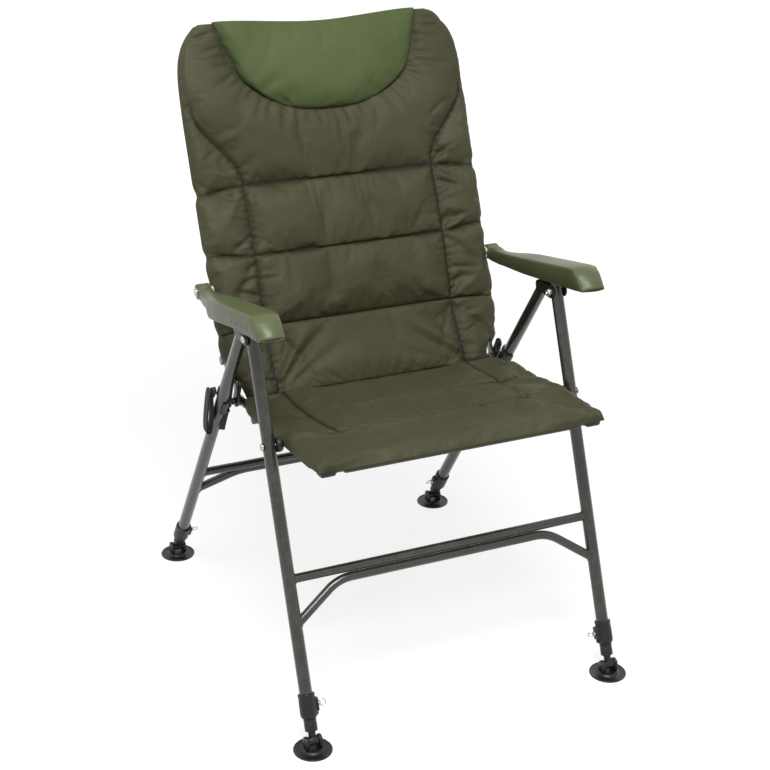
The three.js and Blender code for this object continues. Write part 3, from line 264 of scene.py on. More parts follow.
def together(*shells: Shell) -> Shell:
    """Several shells as one."""
    faces, start = [], 0
    for shell in shells:
        faces.extend(tuple(index + start for index in face) for face in shell.faces)
        start += len(shell.points)
    return Shell(np.concatenate([shell.points for shell in shells]), faces)


def ring_faces(rings: int, sides: int, closed: bool = False) -> list:
    """The quads between rings of points, each ring closed on itself.

    Args:
        rings: how many rings there are.
        sides: how many points a ring has.
        closed: whether the last ring joins the first.

    Returns:
        The faces as tuples of indices.
    """
    faces = []
    for ring in range(rings if closed else rings - 1):
        here, there = ring * sides, ((ring + 1) % rings) * sides
        for k in range(sides):
            follow = (k + 1) % sides
            faces.append((here + k, here + follow, there + follow, there + k))
    return faces


def skin(rings: Sequence[np.ndarray], closed: bool = False) -> Shell:
    """A surface through rings of points: closed on itself, or with a face over each end."""
    count, last = len(rings[0]), (len(rings) - 1) * len(rings[0])
    faces = ring_faces(len(rings), count, closed)
    if not closed:
        faces += [tuple(range(count)), tuple(range(last, last + count))[::-1]]
    return Shell(np.concatenate(rings), faces)


def lathe(profile: Sequence, base: np.ndarray, axis: np.ndarray, sides: int = ROUND_SIDES) -> Shell:
    """A turned piece.

    Args:
        profile: pairs of radius and height along the axis; a profile off the axis closes on itself.
        base: the point where height is zero.
        axis: the direction of height.
        sides: how many sides stand for the round.

    Returns:
        The shell.
    """
    axis = unit(np.asarray(axis, float))
    helper = ACROSS if abs(axis[0]) < 0.9 else np.array((0.0, 0.0, 1.0))
    first = unit(np.cross(axis, helper))
    second = np.cross(axis, first)
    circle = spokes(sides, first, second)
    rows = [np.asarray(base, float) + axis * height + circle * radius for radius, height in profile]
    faces = ring_faces(len(rows), sides, closed=profile[0][0] > 0)
    points = np.concatenate(rows)
    if profile[0][0] <= 0:
        last = (len(rows) - 1) * sides
        faces = [face for face in faces if min(face) >= sides and max(face) < last]
        points = np.concatenate((rows[0][:1], *rows[1:-1], rows[-1][:1]))
        faces = [tuple(index - sides + 1 for index in face) for face in faces]
        end, tail = len(points) - 1, len(points) - 1 - sides
        for k in range(sides):
            follow = (k + 1) % sides
            faces.append((0, 1 + follow, 1 + k))
            faces.append((end, tail + k, tail + follow))
    return Shell(points, faces)


def eased(profile: Sequence, radius: float, steps: int = 3) -> list:
    """The same outline with its corners rounded.

    Args:
        profile: points of the outline; its two ends stay.
        radius: how far from a corner the rounding starts.
        steps: how many stretches make a rounding.

    Returns:
        The new points.
    """
    made = [tuple(profile[0])]
    for before, here, after in zip(profile, profile[1:], profile[2:]):
        before, here, after = (np.asarray(p, float) for p in (before, here, after))
        back, ahead = before - here, after - here
        reach = min(radius, 0.45 * np.linalg.norm(back), 0.45 * np.linalg.norm(ahead))
        start, stop = here + unit(back) * reach, here + unit(ahead) * reach
        for k in range(steps + 1):
            t = k / steps
            made.append(tuple((1 - t) ** 2 * start + 2 * t * (1 - t) * here + t * t * stop))
    made.append(tuple(profile[-1]))
    return made


def bar(place: np.ndarray, from_x: float, to_x: float, radius: float, edge: float = 0.5,
        sides: int = SMALL_ROUND_SIDES) -> Shell:
    """A round bar across the chair with eased ends."""
    low, high = min(from_x, to_x), max(from_x, to_x)
    profile = eased([(0, 0), (radius, 0), (radius, high - low), (0, high - low)], edge)
    base = np.array((low, place[1], place[2]))
    return lathe(profile, base, ACROSS, sides)


def plate(outline: np.ndarray, from_x: float, to_x: float, edge: float = 0.7) -> Shell:
    """A flat plate across the chair with softened edges.

    Args:
        outline: side-view points as rows of Y and Z, in order.
        from_x: one face.
        to_x: the other face.
        edge: how far the edges are softened.

    Returns:
        The shell.
    """
    low, high = min(from_x, to_x), max(from_x, to_x)
    ahead = units(np.roll(outline, -1, axis=0) - outline)
    mean = units(ahead + np.roll(ahead, 1, axis=0))
    area = np.sum(outline[:, 0] * np.roll(outline[:, 1], -1) - np.roll(outline[:, 0], -1) * outline[:, 1])
    inward = np.stack((-mean[:, 1], mean[:, 0]), axis=1) * np.sign(area)
    layers = []
    for x, share in ((low, 1.0), (low + 0.3 * edge, 0.3), (low + edge, 0.0),
                     (high - edge, 0.0), (high - 0.3 * edge, 0.3), (high, 1.0)):
        flat = outline + inward * edge * share
        layers.append(np.column_stack((np.full(len(flat), x), flat)))
    return skin(layers)


def bone_outline(first: np.ndarray, first_radius: float, second: np.ndarray,
                 second_radius: float, steps: int = 14) -> np.ndarray:
    """The side-view outline round two circles."""
    start, stop = first[1:], second[1:]
    apart = np.linalg.norm(stop - start)
    toward = math.atan2(*(stop - start)[::-1])
    spread = math.acos((first_radius - second_radius) / apart) if apart > 1e-6 else math.pi / 2
    arc_one = np.linspace(toward + spread, toward + 2 * math.pi - spread, steps)
    arc_two = np.linspace(toward - spread, toward + spread, steps)
    one = start + first_radius * np.column_stack((np.cos(arc_one), np.sin(arc_one)))
    two = stop + second_radius * np.column_stack((np.cos(arc_two), np.sin(arc_two)))
    return np.concatenate((one, two))


def block_outline(line: SideLine, along: float, half_long: float, half_high: float,
                  corner: float, off: float = 0.0) -> np.ndarray:
    """The side-view outline of a block with round corners that lies along a line."""
    points = []
    for quarter, (a, b) in enumerate(((1, 1), (-1, 1), (-1, -1), (1, -1))):
        for k in range(5):
            angle = math.pi / 2 * (quarter + k / 4)
            reach = a * (half_long - corner) + corner * math.cos(angle)
            rise = b * (half_high - corner) + corner * math.sin(angle)
            points.append(line.at(along + reach, off + rise)[1:])
    return np.array(points)


def bent_path(corners: Sequence[np.ndarray], radius: float, steps: int = 14) -> np.ndarray:
    """The points of a path through corners that are rounded to one bend radius."""
    points = [corners[0]]
    for before, here, after in zip(corners, corners[1:], corners[2:]):
        into, out = unit(here - before), unit(after - here)
        half = math.acos(float(np.clip(into @ out, -1, 1))) / 2
        centre = here + unit(out - into) * radius / math.cos(half)
        spoke = here - into * radius * math.tan(half) - centre
        side = unit(np.cross(into, out))
        for k in range(steps + 1):
            turn = 2 * half * k / steps
            points.append(centre + spoke * math.cos(turn) + np.cross(side, spoke) * math.sin(turn))
    points.append(corners[-1])
    return np.array(points)


def slide_onto_leg(points: np.ndarray, way: np.ndarray, leg: SideLine, leg_x: float,
                   radius: float) -> np.ndarray:
    """Points slid along a tube until they touch a round leg, which copes the tube's end.

    Args:
        points: the ring at the tube's end, short of the leg.
        way: the tube's direction towards the leg.
        leg: the leg's axis.
        leg_x: the leg's place across the chair.
        radius: the leg's radius.

    Returns:
        The moved points.
    """
    square = np.eye(3) - np.outer(leg.way, leg.way)
    away = (points - leg.at(0, x=leg_x)) @ square
    run = way @ square
    a = run @ run
    b = away @ run
    c = np.sum(away * away, axis=1) - radius * radius
    reach = (-b - np.sqrt(np.maximum(b * b - a * c, 0.0))) / a
    return points + reach[:, None] * way


def tube(path: np.ndarray, radius: float, wall: float, plane: np.ndarray,
         cope: Callable | None = None, sides: int = ROUND_SIDES) -> Shell:
    """A hollow tube along a path that lies in a plane.

    Args:
        path: the centre line.
        radius: the outer radius.
        wall: the wall's thickness.
        plane: a direction square to the path's plane.
        cope: moves the points of an end ring, given the ring and the direction out of the tube.
        sides: how many sides stand for the round.

    Returns:
        The shell, open at both ends.
    """
    ways = units(np.gradient(path, axis=0))
    ways[0], ways[-1] = unit(path[1] - path[0]), unit(path[-1] - path[-2])
    plane = unit(plane)
    outside, inside = [], []
    for place, way in zip(path, ways):
        circle = spokes(sides, plane, np.cross(plane, way))
        outside.append(place + circle * radius)
        inside.append(place + circle * (radius - wall))
    if cope is not None:
        outside[0], inside[0] = cope(outside[0], -ways[0]), cope(inside[0], -ways[0])
        outside[-1], inside[-1] = cope(outside[-1], ways[-1]), cope(inside[-1], ways[-1])
    return skin(outside + inside[::-1], closed=True)


def weld_bead(ring: np.ndarray, leg: SideLine, leg_x: float, tube_way: np.ndarray,
              size: float = 1.7) -> Shell:
    """A rippled bead of weld along a coped end."""
    sides, count = 10, len(ring)
    square = np.eye(3) - np.outer(leg.way, leg.way)
    from_leg = units((ring - leg.at(0, x=leg_x)) @ square)
    across = ring - ring.mean(axis=0)
    across = units(across - np.outer(across @ tube_way, tube_way))
    along = units(np.roll(ring, -1, axis=0) - np.roll(ring, 1, axis=0))
    out = from_leg + across
    out = units(out - np.sum(out * along, axis=1)[:, None] * along)
    third = np.cross(along, out)
    ripple = size * (1.0 + 0.16 * np.sin(np.arange(count) * 2.0 * math.pi * 13 / count))
    rings = [ring[k] + ripple[k] * spokes(sides, out[k], third[k]) for k in range(count)]
    return skin(rings, closed=True)


def wire_ring(centre: np.ndarray, first: np.ndarray, second: np.ndarray, radius: float,
              wire: float) -> Shell:
    """A ring of round wire in the plane of two directions."""
    first, second = unit(first), unit(second)
    normal = np.cross(first, second)
    turns, sides = 36, 10
    rings = [centre + spoke * radius + spokes(sides, spoke, normal) * wire
             for spoke in spokes(turns, first, second)]
    return skin(rings, closed=True)


def linear(colour: Sequence[int]) -> tuple:
    """A colour of 0 to 255 as the four linear numbers that a shader takes."""
    parts = [c / 255.0 for c in colour]
    return tuple(c / 12.92 if c <= 0.04045 else ((c + 0.055) / 1.055) ** 2.4 for c in parts) + (1.0,)


class Board:
    """Puts nodes on a node tree and joins their sockets."""

    def __init__(self, tree: bpy.types.NodeTree) -> None:
        """Starts on an empty tree."""
        self.tree = tree
        self.tree.nodes.clear()

    def node(self, kind: str, takes: dict | None = None, **settings: object) -> bpy.types.Node:
        """Adds a node, sets its properties and feeds its inputs from sockets or numbers."""
        made = self.tree.nodes.new(kind)
        for name, value in settings.items():
            setattr(made, name, value)
        for title, source in (takes or {}).items():
            self.join(source, made.inputs[title])
        return made

    def join(self, source: object, target: bpy.types.NodeSocket) -> None:
        """Feeds a socket from another socket, or sets its number."""
        if isinstance(source, bpy.types.NodeSocket):
            self.tree.links.new(source, target)
        else:
            target.default_value = source

    def effect(self, group: bpy.types.NodeTree, **amounts: float) -> bpy.types.Node:
        """Places a shared effect; grains_per_metre=2.0 sets its input Grains per metre."""
        takes = {name.replace("_", " ").capitalize(): amount for name, amount in amounts.items()}
        return self.node("ShaderNodeGroup", takes, node_tree=group)

    def where(self, kind: str = "Object") -> bpy.types.NodeSocket:
        """The socket of a place's coordinates."""
        return self.node("ShaderNodeTexCoord").outputs[kind]

    def parts(self, vector: bpy.types.NodeSocket) -> bpy.types.bpy_prop_collection:
        """The sockets X, Y and Z of a vector."""
        return self.node("ShaderNodeSeparateXYZ", {0: vector}).outputs

    def maths(self, operation: str, *values: object, clamp: bool = False) -> bpy.types.NodeSocket:
        """The result of a Math node."""
        takes = dict(enumerate(values))
        return self.node("ShaderNodeMath", takes, operation=operation, use_clamp=clamp).outputs[0]

    def mix_colour(self, share: object, first: object, second: object) -> bpy.types.NodeSocket:
        """Two colours mixed by a share."""
        return self.node("ShaderNodeMix", {0: share, 6: first, 7: second}, data_type="RGBA").outputs[2]

    def spread(self, value: object, low: float, high: float, to_low: float = 0.0,
               to_high: float = 1.0) -> bpy.types.NodeSocket:
        """A value's range stretched onto another, with soft ends."""
        takes = dict(enumerate((value, low, high, to_low, to_high)))
        return self.node("ShaderNodeMapRange", takes, interpolation_type="SMOOTHSTEP").outputs[0]

    def noise(self, where: bpy.types.NodeSocket, scale: object, detail: float = 3.0) -> object:
        """The socket of a noise value at a place."""
        takes = {"Vector": where, "Scale": scale, "Detail": detail}
        return self.node("ShaderNodeTexNoise", takes).outputs[0]


class SharedEffect:
    """A node group with named sockets that several finishes use, built once."""

    built: dict = {}

    @classmethod
    def group(cls, name: str, takes: dict, gives: Sequence[str],
              fill: Callable) -> bpy.types.NodeTree:
        """Builds a group, or finds it.

        Args:
            name: the group's name.
            takes: its inputs, as names and usual numbers.
            gives: the names of its outputs.
            fill: draws the inside, given a board and the input sockets, and returns the outputs.

        Returns:
            The group.
        """
        if name not in cls.built:
            tree = bpy.data.node_groups.new(name, "ShaderNodeTree")
            for title, usual in takes.items():
                socket = tree.interface.new_socket(title, in_out="INPUT", socket_type="NodeSocketFloat")
                socket.default_value = usual
            for title in gives:
                tree.interface.new_socket(title, in_out="OUTPUT", socket_type="NodeSocketFloat")
            board = Board(tree)
            entry = board.node("NodeGroupInput")
            leave = board.node("NodeGroupOutput")
            results = fill(board, {title: entry.outputs[title] for title in takes})
            for title, result in zip(gives, results):
                board.join(result, leave.inputs[title])
            cls.built[name] = tree
        return cls.built[name]

    @classmethod
    def grain(cls) -> bpy.types.NodeTree:
        """Fine grain of a coat of paint or a moulded skin, with a slow change of shade."""

        def fill(board: Board, takes: dict) -> tuple:
            where = board.where()
            fine = board.noise(where, takes["Grains per metre"], 2.0)
            slow = board.noise(where, takes["Patches per metre"], 4.0)
            return fine, board.spread(slow, 0.3, 0.7)

        return cls.group("fine grain", {"Grains per metre": 900.0, "Patches per metre": 9.0},
                         ("Height", "Shade"), fill)

    @classmethod
    def wear(cls) -> bpy.types.NodeTree:
        """A mask of rubbed edges and small scuffs."""

        def fill(board: Board, takes: dict) -> tuple:
            where = board.where()
            edge = board.spread(board.node("ShaderNodeNewGeometry").outputs["Pointiness"], 0.53, 0.6)
            patchy = board.spread(board.noise(where, takes["Scuffs per metre"], 5.0), 0.48, 0.66)
            fine = board.spread(board.noise(where, 340.0, 2.0), 0.62, 0.74, 0.0, 0.35)
            worn = board.maths("ADD", board.maths("MULTIPLY", edge, patchy), fine)
            return (board.maths("MULTIPLY", worn, takes["Amount"], clamp=True),)

        return cls.group("edge wear", {"Amount": 0.4, "Scuffs per metre": 60.0}, ("Mask",), fill)

    @classmethod
    def dust(cls) -> bpy.types.NodeTree:
        """A mask of dust that lies on faces that look up."""

        def fill(board: Board, takes: dict) -> tuple:
            where = board.where()
            parts = board.parts(board.node("ShaderNodeNewGeometry").outputs["Normal"])
            upward = board.spread(parts["Z"], 0.25, 1.0)
            patchy = board.spread(board.noise(where, takes["Patches per metre"], 6.0), 0.35, 0.75)
            lying = board.maths("MULTIPLY", upward, patchy)
            return (board.maths("MULTIPLY", lying, takes["Amount"], clamp=True),)

        return cls.group("settled dust", {"Amount": 0.1, "Patches per metre": 25.0}, ("Mask",), fill)

    @classmethod
    def weave(cls) -> bpy.types.NodeTree:
        """A plain weave with fine ribs across, laid out on the cloth's own flat coordinates."""

        def fill(board: Board, takes: dict) -> tuple:
            flat = board.where("UV")
            parts = board.parts(flat)

            def wave(along: bpy.types.NodeSocket, rate: object) -> bpy.types.NodeSocket:
                turns = board.maths("MULTIPLY", board.maths("MULTIPLY", along, rate), 2.0 * math.pi)
                return board.maths("SINE", turns)

            warp = wave(parts["X"], takes["Threads per metre"])
            weft = wave(parts["Y"], takes["Threads per metre"])
            ribs = wave(parts["Y"], takes["Ribs per metre"])
            crossing = board.maths("MULTIPLY", warp, weft)
            slub = board.noise(flat, 210.0, 2.0)
            threads = board.maths("MULTIPLY_ADD", crossing, 0.5, 0.5)
            ribbing = board.maths("MULTIPLY_ADD", ribs, 0.5, 0.5)
            height = board.maths("MULTIPLY_ADD", ribbing, takes["Rib share"], threads)
            shade = board.maths("MULTIPLY_ADD", slub, 0.5, board.maths("MULTIPLY", ribbing, 0.5))
            return height, shade

        return cls.group("cloth weave", {"Threads per metre": 820.0, "Ribs per metre": 235.0,
                                         "Rib share": 0.6}, ("Height", "Shade"), fill)


@dataclass(frozen=True)
class Finish:
    """A hard finish: a colour that varies a little, fine grain, rubbed edges and dust."""

    name: str
    slot: str
    colour: tuple
    shade: tuple
    worn: tuple
    roughness: float
    metallic: float = 0.0
    coat: float = 0.0
    specular: float = 0.5
    grains: float = 900.0
    grain_height: float = 0.02
    wear: float = 0.3
    dust: float = 0.06

    def material(self) -> bpy.types.Material:
        """The finish as a material, made on first use."""
        found = bpy.data.materials.get(self.name)
        if found:
            return found
        made = bpy.data.materials.new(self.name)
        made.use_nodes = True
        board = Board(made.node_tree)
        colour, rough, height = self.surface(board)
        relief = {"Strength": 0.6, "Distance": self.grain_height * METRES, "Height": height}
        bump = board.node("ShaderNodeBump", relief)
        takes = {"Base Color": colour, "Roughness": rough, "Normal": bump.outputs[0], **self.plain()}
        shader = board.node("ShaderNodeBsdfPrincipled", takes)
        board.node("ShaderNodeOutputMaterial", {"Surface": shader.outputs[0]})
        return made

    def plain(self) -> dict:
        """The shader's inputs that are the same all over."""
        return {"Metallic": self.metallic, "Coat Weight": self.coat, "Coat Roughness": 0.12,
                "Specular IOR Level": self.specular}

    def surface(self, board: Board) -> tuple:
        """The sockets of colour, roughness and height."""
        grain = board.effect(SharedEffect.grain(), grains_per_metre=self.grains)
        wear = board.effect(SharedEffect.wear(), amount=self.wear)
        dust = board.effect(SharedEffect.dust(), amount=self.dust)
        base = board.mix_colour(grain.outputs["Shade"], linear(self.colour), linear(self.shade))
        rubbed = board.mix_colour(wear.outputs["Mask"], base, linear(self.worn))
        dusty = board.mix_colour(dust.outputs["Mask"], rubbed, linear(DUST_COLOUR))
        slow = board.maths("MULTIPLY_ADD", grain.outputs["Shade"], 0.08, self.roughness - 0.04)
        rough = board.maths("MULTIPLY_ADD", dust.outputs["Mask"], 0.4, slow, clamp=True)
        return dusty, rough, grain.outputs["Height"]


@dataclass(frozen=True)
class ClothFinish(Finish):
    """A woven finish: threads and ribs in relief, with shade painted darker into its seams."""

    threads: float = 820.0
    ribs: float = 235.0
    rib_share: float = 0.6
    sheen: float = 0.25
    # painted shade: seam is the dark colour that the cloth is mixed towards in its seam grooves, for the
    # shade there
    seam: tuple = (17, 17, 12)

    def plain(self) -> dict:
        """The shader's inputs that are the same all over, with a sheen."""
        return {**super().plain(), "Sheen Weight": self.sheen, "Sheen Roughness": 0.45,
                "Sheen Tint": linear(self.worn)}

    def surface(self, board: Board) -> tuple:
        """The sockets of colour, roughness and height."""
        weave = board.effect(SharedEffect.weave(), threads_per_metre=self.threads,
                             ribs_per_metre=self.ribs, rib_share=self.rib_share)
        grain = board.effect(SharedEffect.grain(), grains_per_metre=self.grains, patches_per_metre=6.0)
        dust = board.effect(SharedEffect.dust(), amount=self.dust)
        # sewn is the mask of painted shade, strongest in the seam grooves
        sewn = board.node("ShaderNodeAttribute", attribute_name="sewn").outputs["Fac"]
        base = board.mix_colour(grain.outputs["Shade"], linear(self.colour), linear(self.shade))
        ribbed = board.mix_colour(board.maths("MULTIPLY", weave.outputs["Shade"], 0.5), base,
                                  linear(self.shade))
        rubbed = board.mix_colour(board.maths("MULTIPLY", grain.outputs["Height"], self.wear),
                                  ribbed, linear(self.worn))
        dusty = board.mix_colour(dust.outputs["Mask"], rubbed, linear(DUST_COLOUR))
        # painted shade in the seams: the colour is darkened towards seam where sewn is high
        seam_shaded = board.mix_colour(board.maths("MULTIPLY", sewn, 0.85), dusty, linear(self.seam))
        rough = board.maths("MULTIPLY_ADD", grain.outputs["Shade"], 0.1, self.roughness - 0.05)
        return seam_shaded, rough, weave.outputs["Height"]


TUBE_PAINT = Finish("tube paint", "tube_paint", (46, 49, 38), (38, 41, 31), (104, 104, 92),
                    roughness=0.27, metallic=0.1, coat=0.5, specular=0.5, grains=1500.0,
                    grain_height=0.012, wear=0.16, dust=0.03)
BLACK_PLASTIC = Finish("black moulded plastic", "black_plastic", (22, 28, 28), (16, 21, 21),
                       (66, 70, 70), roughness=0.4, specular=0.4, grains=1300.0, grain_height=0.03,
                       wear=0.3, dust=0.04)
GREEN_PLASTIC = Finish("green moulded plastic", "green_plastic", (90, 99, 65), (83, 92, 58),
                       (128, 138, 106), roughness=0.38, specular=0.36, grains=1700.0,
                       grain_height=0.012, wear=0.1, dust=0.03)
BLACK_STEEL = Finish("black steel", "black_steel", (40, 41, 40), (31, 32, 31), (122, 120, 114),
                     roughness=0.4, metallic=0.4, grains=700.0, grain_height=0.02, wear=0.3)
BRIGHT_STEEL = Finish("bright steel", "bright_steel", (196, 197, 194), (178, 180, 178),
                      (222, 222, 220), roughness=0.26, metallic=1.0, grains=600.0,
                      grain_height=0.01, wear=0.2, dust=0.03)
# In each cloth, seam is the colour of the painted shade in its seam grooves
OLIVE_CLOTH = ClothFinish("olive padded cloth", "olive_fabric", (71, 70, 48), (61, 60, 40),
                          (98, 95, 71), roughness=0.6, specular=0.26, grains=420.0,
                          grain_height=0.16, wear=0.1, dust=0.01, sheen=0.05)
HEADREST_CLOTH = ClothFinish("green headrest cloth", "green_fabric", (81, 92, 54), (71, 83, 46),
                             (112, 128, 84), roughness=0.72, specular=0.3, grains=520.0,
                             grain_height=0.1, wear=0.1, dust=0.01, threads=980.0, ribs=980.0,
                             rib_share=0.1, sheen=0.12, seam=(38, 50, 24))
STRAP_CLOTH = ClothFinish("black webbing", "webbing", (38, 39, 40), (28, 29, 30), (84, 84, 84),
                          roughness=0.74, grains=420.0, grain_height=0.3, wear=0.2, dust=0.05,
                          threads=520.0, ribs=260.0, sheen=0.1, seam=(14, 14, 14))
THREAD = Finish("dark sewing thread", "olive_fabric", (17, 17, 13), (13, 13, 10), (40, 39, 30),
                roughness=0.9, specular=0.15, grains=2600.0, grain_height=0.06, wear=0.1, dust=0.0)


def placed(name: str, data: bpy.types.ID) -> bpy.types.Object:
    """A new object of the scene."""
    made = bpy.data.objects.new(name, data)
    bpy.context.scene.collection.objects.link(made)
    return made


def make_object(name: str, shell: Shell, finish: Finish, sharp: float = 32.0) -> bpy.types.Object:
    """Makes a mesh object from a shell, smooth but for its sharp edges.

    Args:
        name: the piece's name.
        shell: its surface in millimetres.
        finish: what it is made of.
        sharp: the angle in degrees from which an edge stays sharp.

    Returns:
        The object, linked to the scene.
    """
    mesh = bpy.data.meshes.new(name)
    mesh.from_pydata((shell.points * METRES).tolist(), [], shell.faces)
    mesh.validate()
    outward = bmesh.new()
    outward.from_mesh(mesh)
    bmesh.ops.recalc_face_normals(outward, faces=outward.faces)
    outward.to_mesh(mesh)
    outward.free()
    mesh.shade_smooth()
    mesh.set_sharp_from_angle(angle=math.radians(sharp))
    mesh.materials.append(finish.material())
    return placed(name, mesh)


def fit(made: bpy.types.Object, finish: Finish, body: str, *nodes: str) -> bpy.types.Object:
    """Puts a piece on its body and hides the CAD nodes that it stands for."""
    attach(made, body)
    if nodes:
        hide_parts(*nodes)
    LOG.info("%s on %s: %d faces", made.name, body, len(made.data.polygons))
    return made


def piece(name: str, shell: Shell, finish: Finish, body: str, *nodes: str) -> bpy.types.Object:
    """Makes a hard piece that rides on a body and stands for CAD nodes."""
    return fit(make_object(name, shell, finish), finish, body, *nodes)


def bolt_head(place: np.ndarray, x: float, way: int, radius: float, height: float) -> Shell:
    """A domed bolt head with a socket, its flat side at x and its dome along way."""
    profile = eased([(0, 0), (radius, 0), (radius, 0.45 * height), (0.72 * radius, height),
                     (0.5 * radius, height), (0.42 * radius, 0.55 * height), (0, 0.55 * height)], 0.6)
    return lathe(profile, np.array((x, place[1], place[2])), ACROSS * way, 28)


def hexagon_nut(place: np.ndarray, from_x: float, to_x: float, radius: float) -> Shell:
    """A six-sided nut across the chair."""
    angles = np.arange(6) * math.pi / 3 + math.pi / 6
    outline = place[1:] + radius * np.column_stack((np.cos(angles), np.sin(angles)))
    return plate(outline, from_x, to_x, 0.6)


def pressed_end(line: SideLine, x: float, from_at: float, tongue_x: float) -> Shell:
    """The stretch where a round tube is pressed into a flat tongue."""
    long, sides, rings = 20.0, 32, 9
    angles = np.arange(sides) * 2 * math.pi / sides
    rows = []
    for k in range(rings):
        share = smooth(np.array(k / (rings - 1)))
        wide = TONGUE_HALF + (TUBE_RADIUS - TONGUE_HALF) * share
        tall = TONGUE_TALL + (TUBE_RADIUS - TONGUE_TALL) * share
        centre = tongue_x + (x - tongue_x) * share
        power = 0.45 + 0.55 * share
        across = np.sign(np.cos(angles)) * np.abs(np.cos(angles)) ** power * wide
        rise = np.sign(np.sin(angles)) * np.abs(np.sin(angles)) ** power * tall
        place = line.at(from_at + long * k / (rings - 1), x=centre)
        rows.append(place + np.outer(across, ACROSS) + np.outer(rise, line.normal))
    return skin(rows)


def tongue(line: SideLine, tongue_x: float, to_at: float) -> Shell:
    """The flat tongue of a frame tube, from its eye round the hinge bolt."""
    eye = 10.0
    outline = bone_outline(line.at(0), eye, line.at(to_at - TONGUE_TALL), TONGUE_TALL)
    return plate(outline, tongue_x - TONGUE_HALF, tongue_x + TONGUE_HALF, 0.5)


def tongued_end(line: SideLine, x: float, tongue_x: float) -> Shell:
    """A frame tube's lower end: the pressed stretch and the tongue."""
    return together(pressed_end(line, x, TUBE_FROM, tongue_x), tongue(line, tongue_x, TUBE_FROM + 8))


def frame_tube(corners: Sequence[np.ndarray], plane: np.ndarray) -> Shell:
    """A tube of the seat or the back."""
    return tube(np.array(corners), TUBE_RADIUS, TUBE_WALL, plane)


def under_tube(line: SideLine, at: float, tube_x: float) -> Shell:
    """The cross tube under a pad, plugged at both ends."""
    wide, under = tube_x + TUBE_RADIUS, -2 * TUBE_RADIUS
    made = frame_tube([line.at(at, under, -wide), line.at(at, under, wide)], line.way)
    plugs = [bar(line.at(at, under), sign * (wide - 6), sign * (wide + 0.2),
                 TUBE_RADIUS - TUBE_WALL + 0.2) for sign in (-1, 1)]
    return together(made, *plugs)


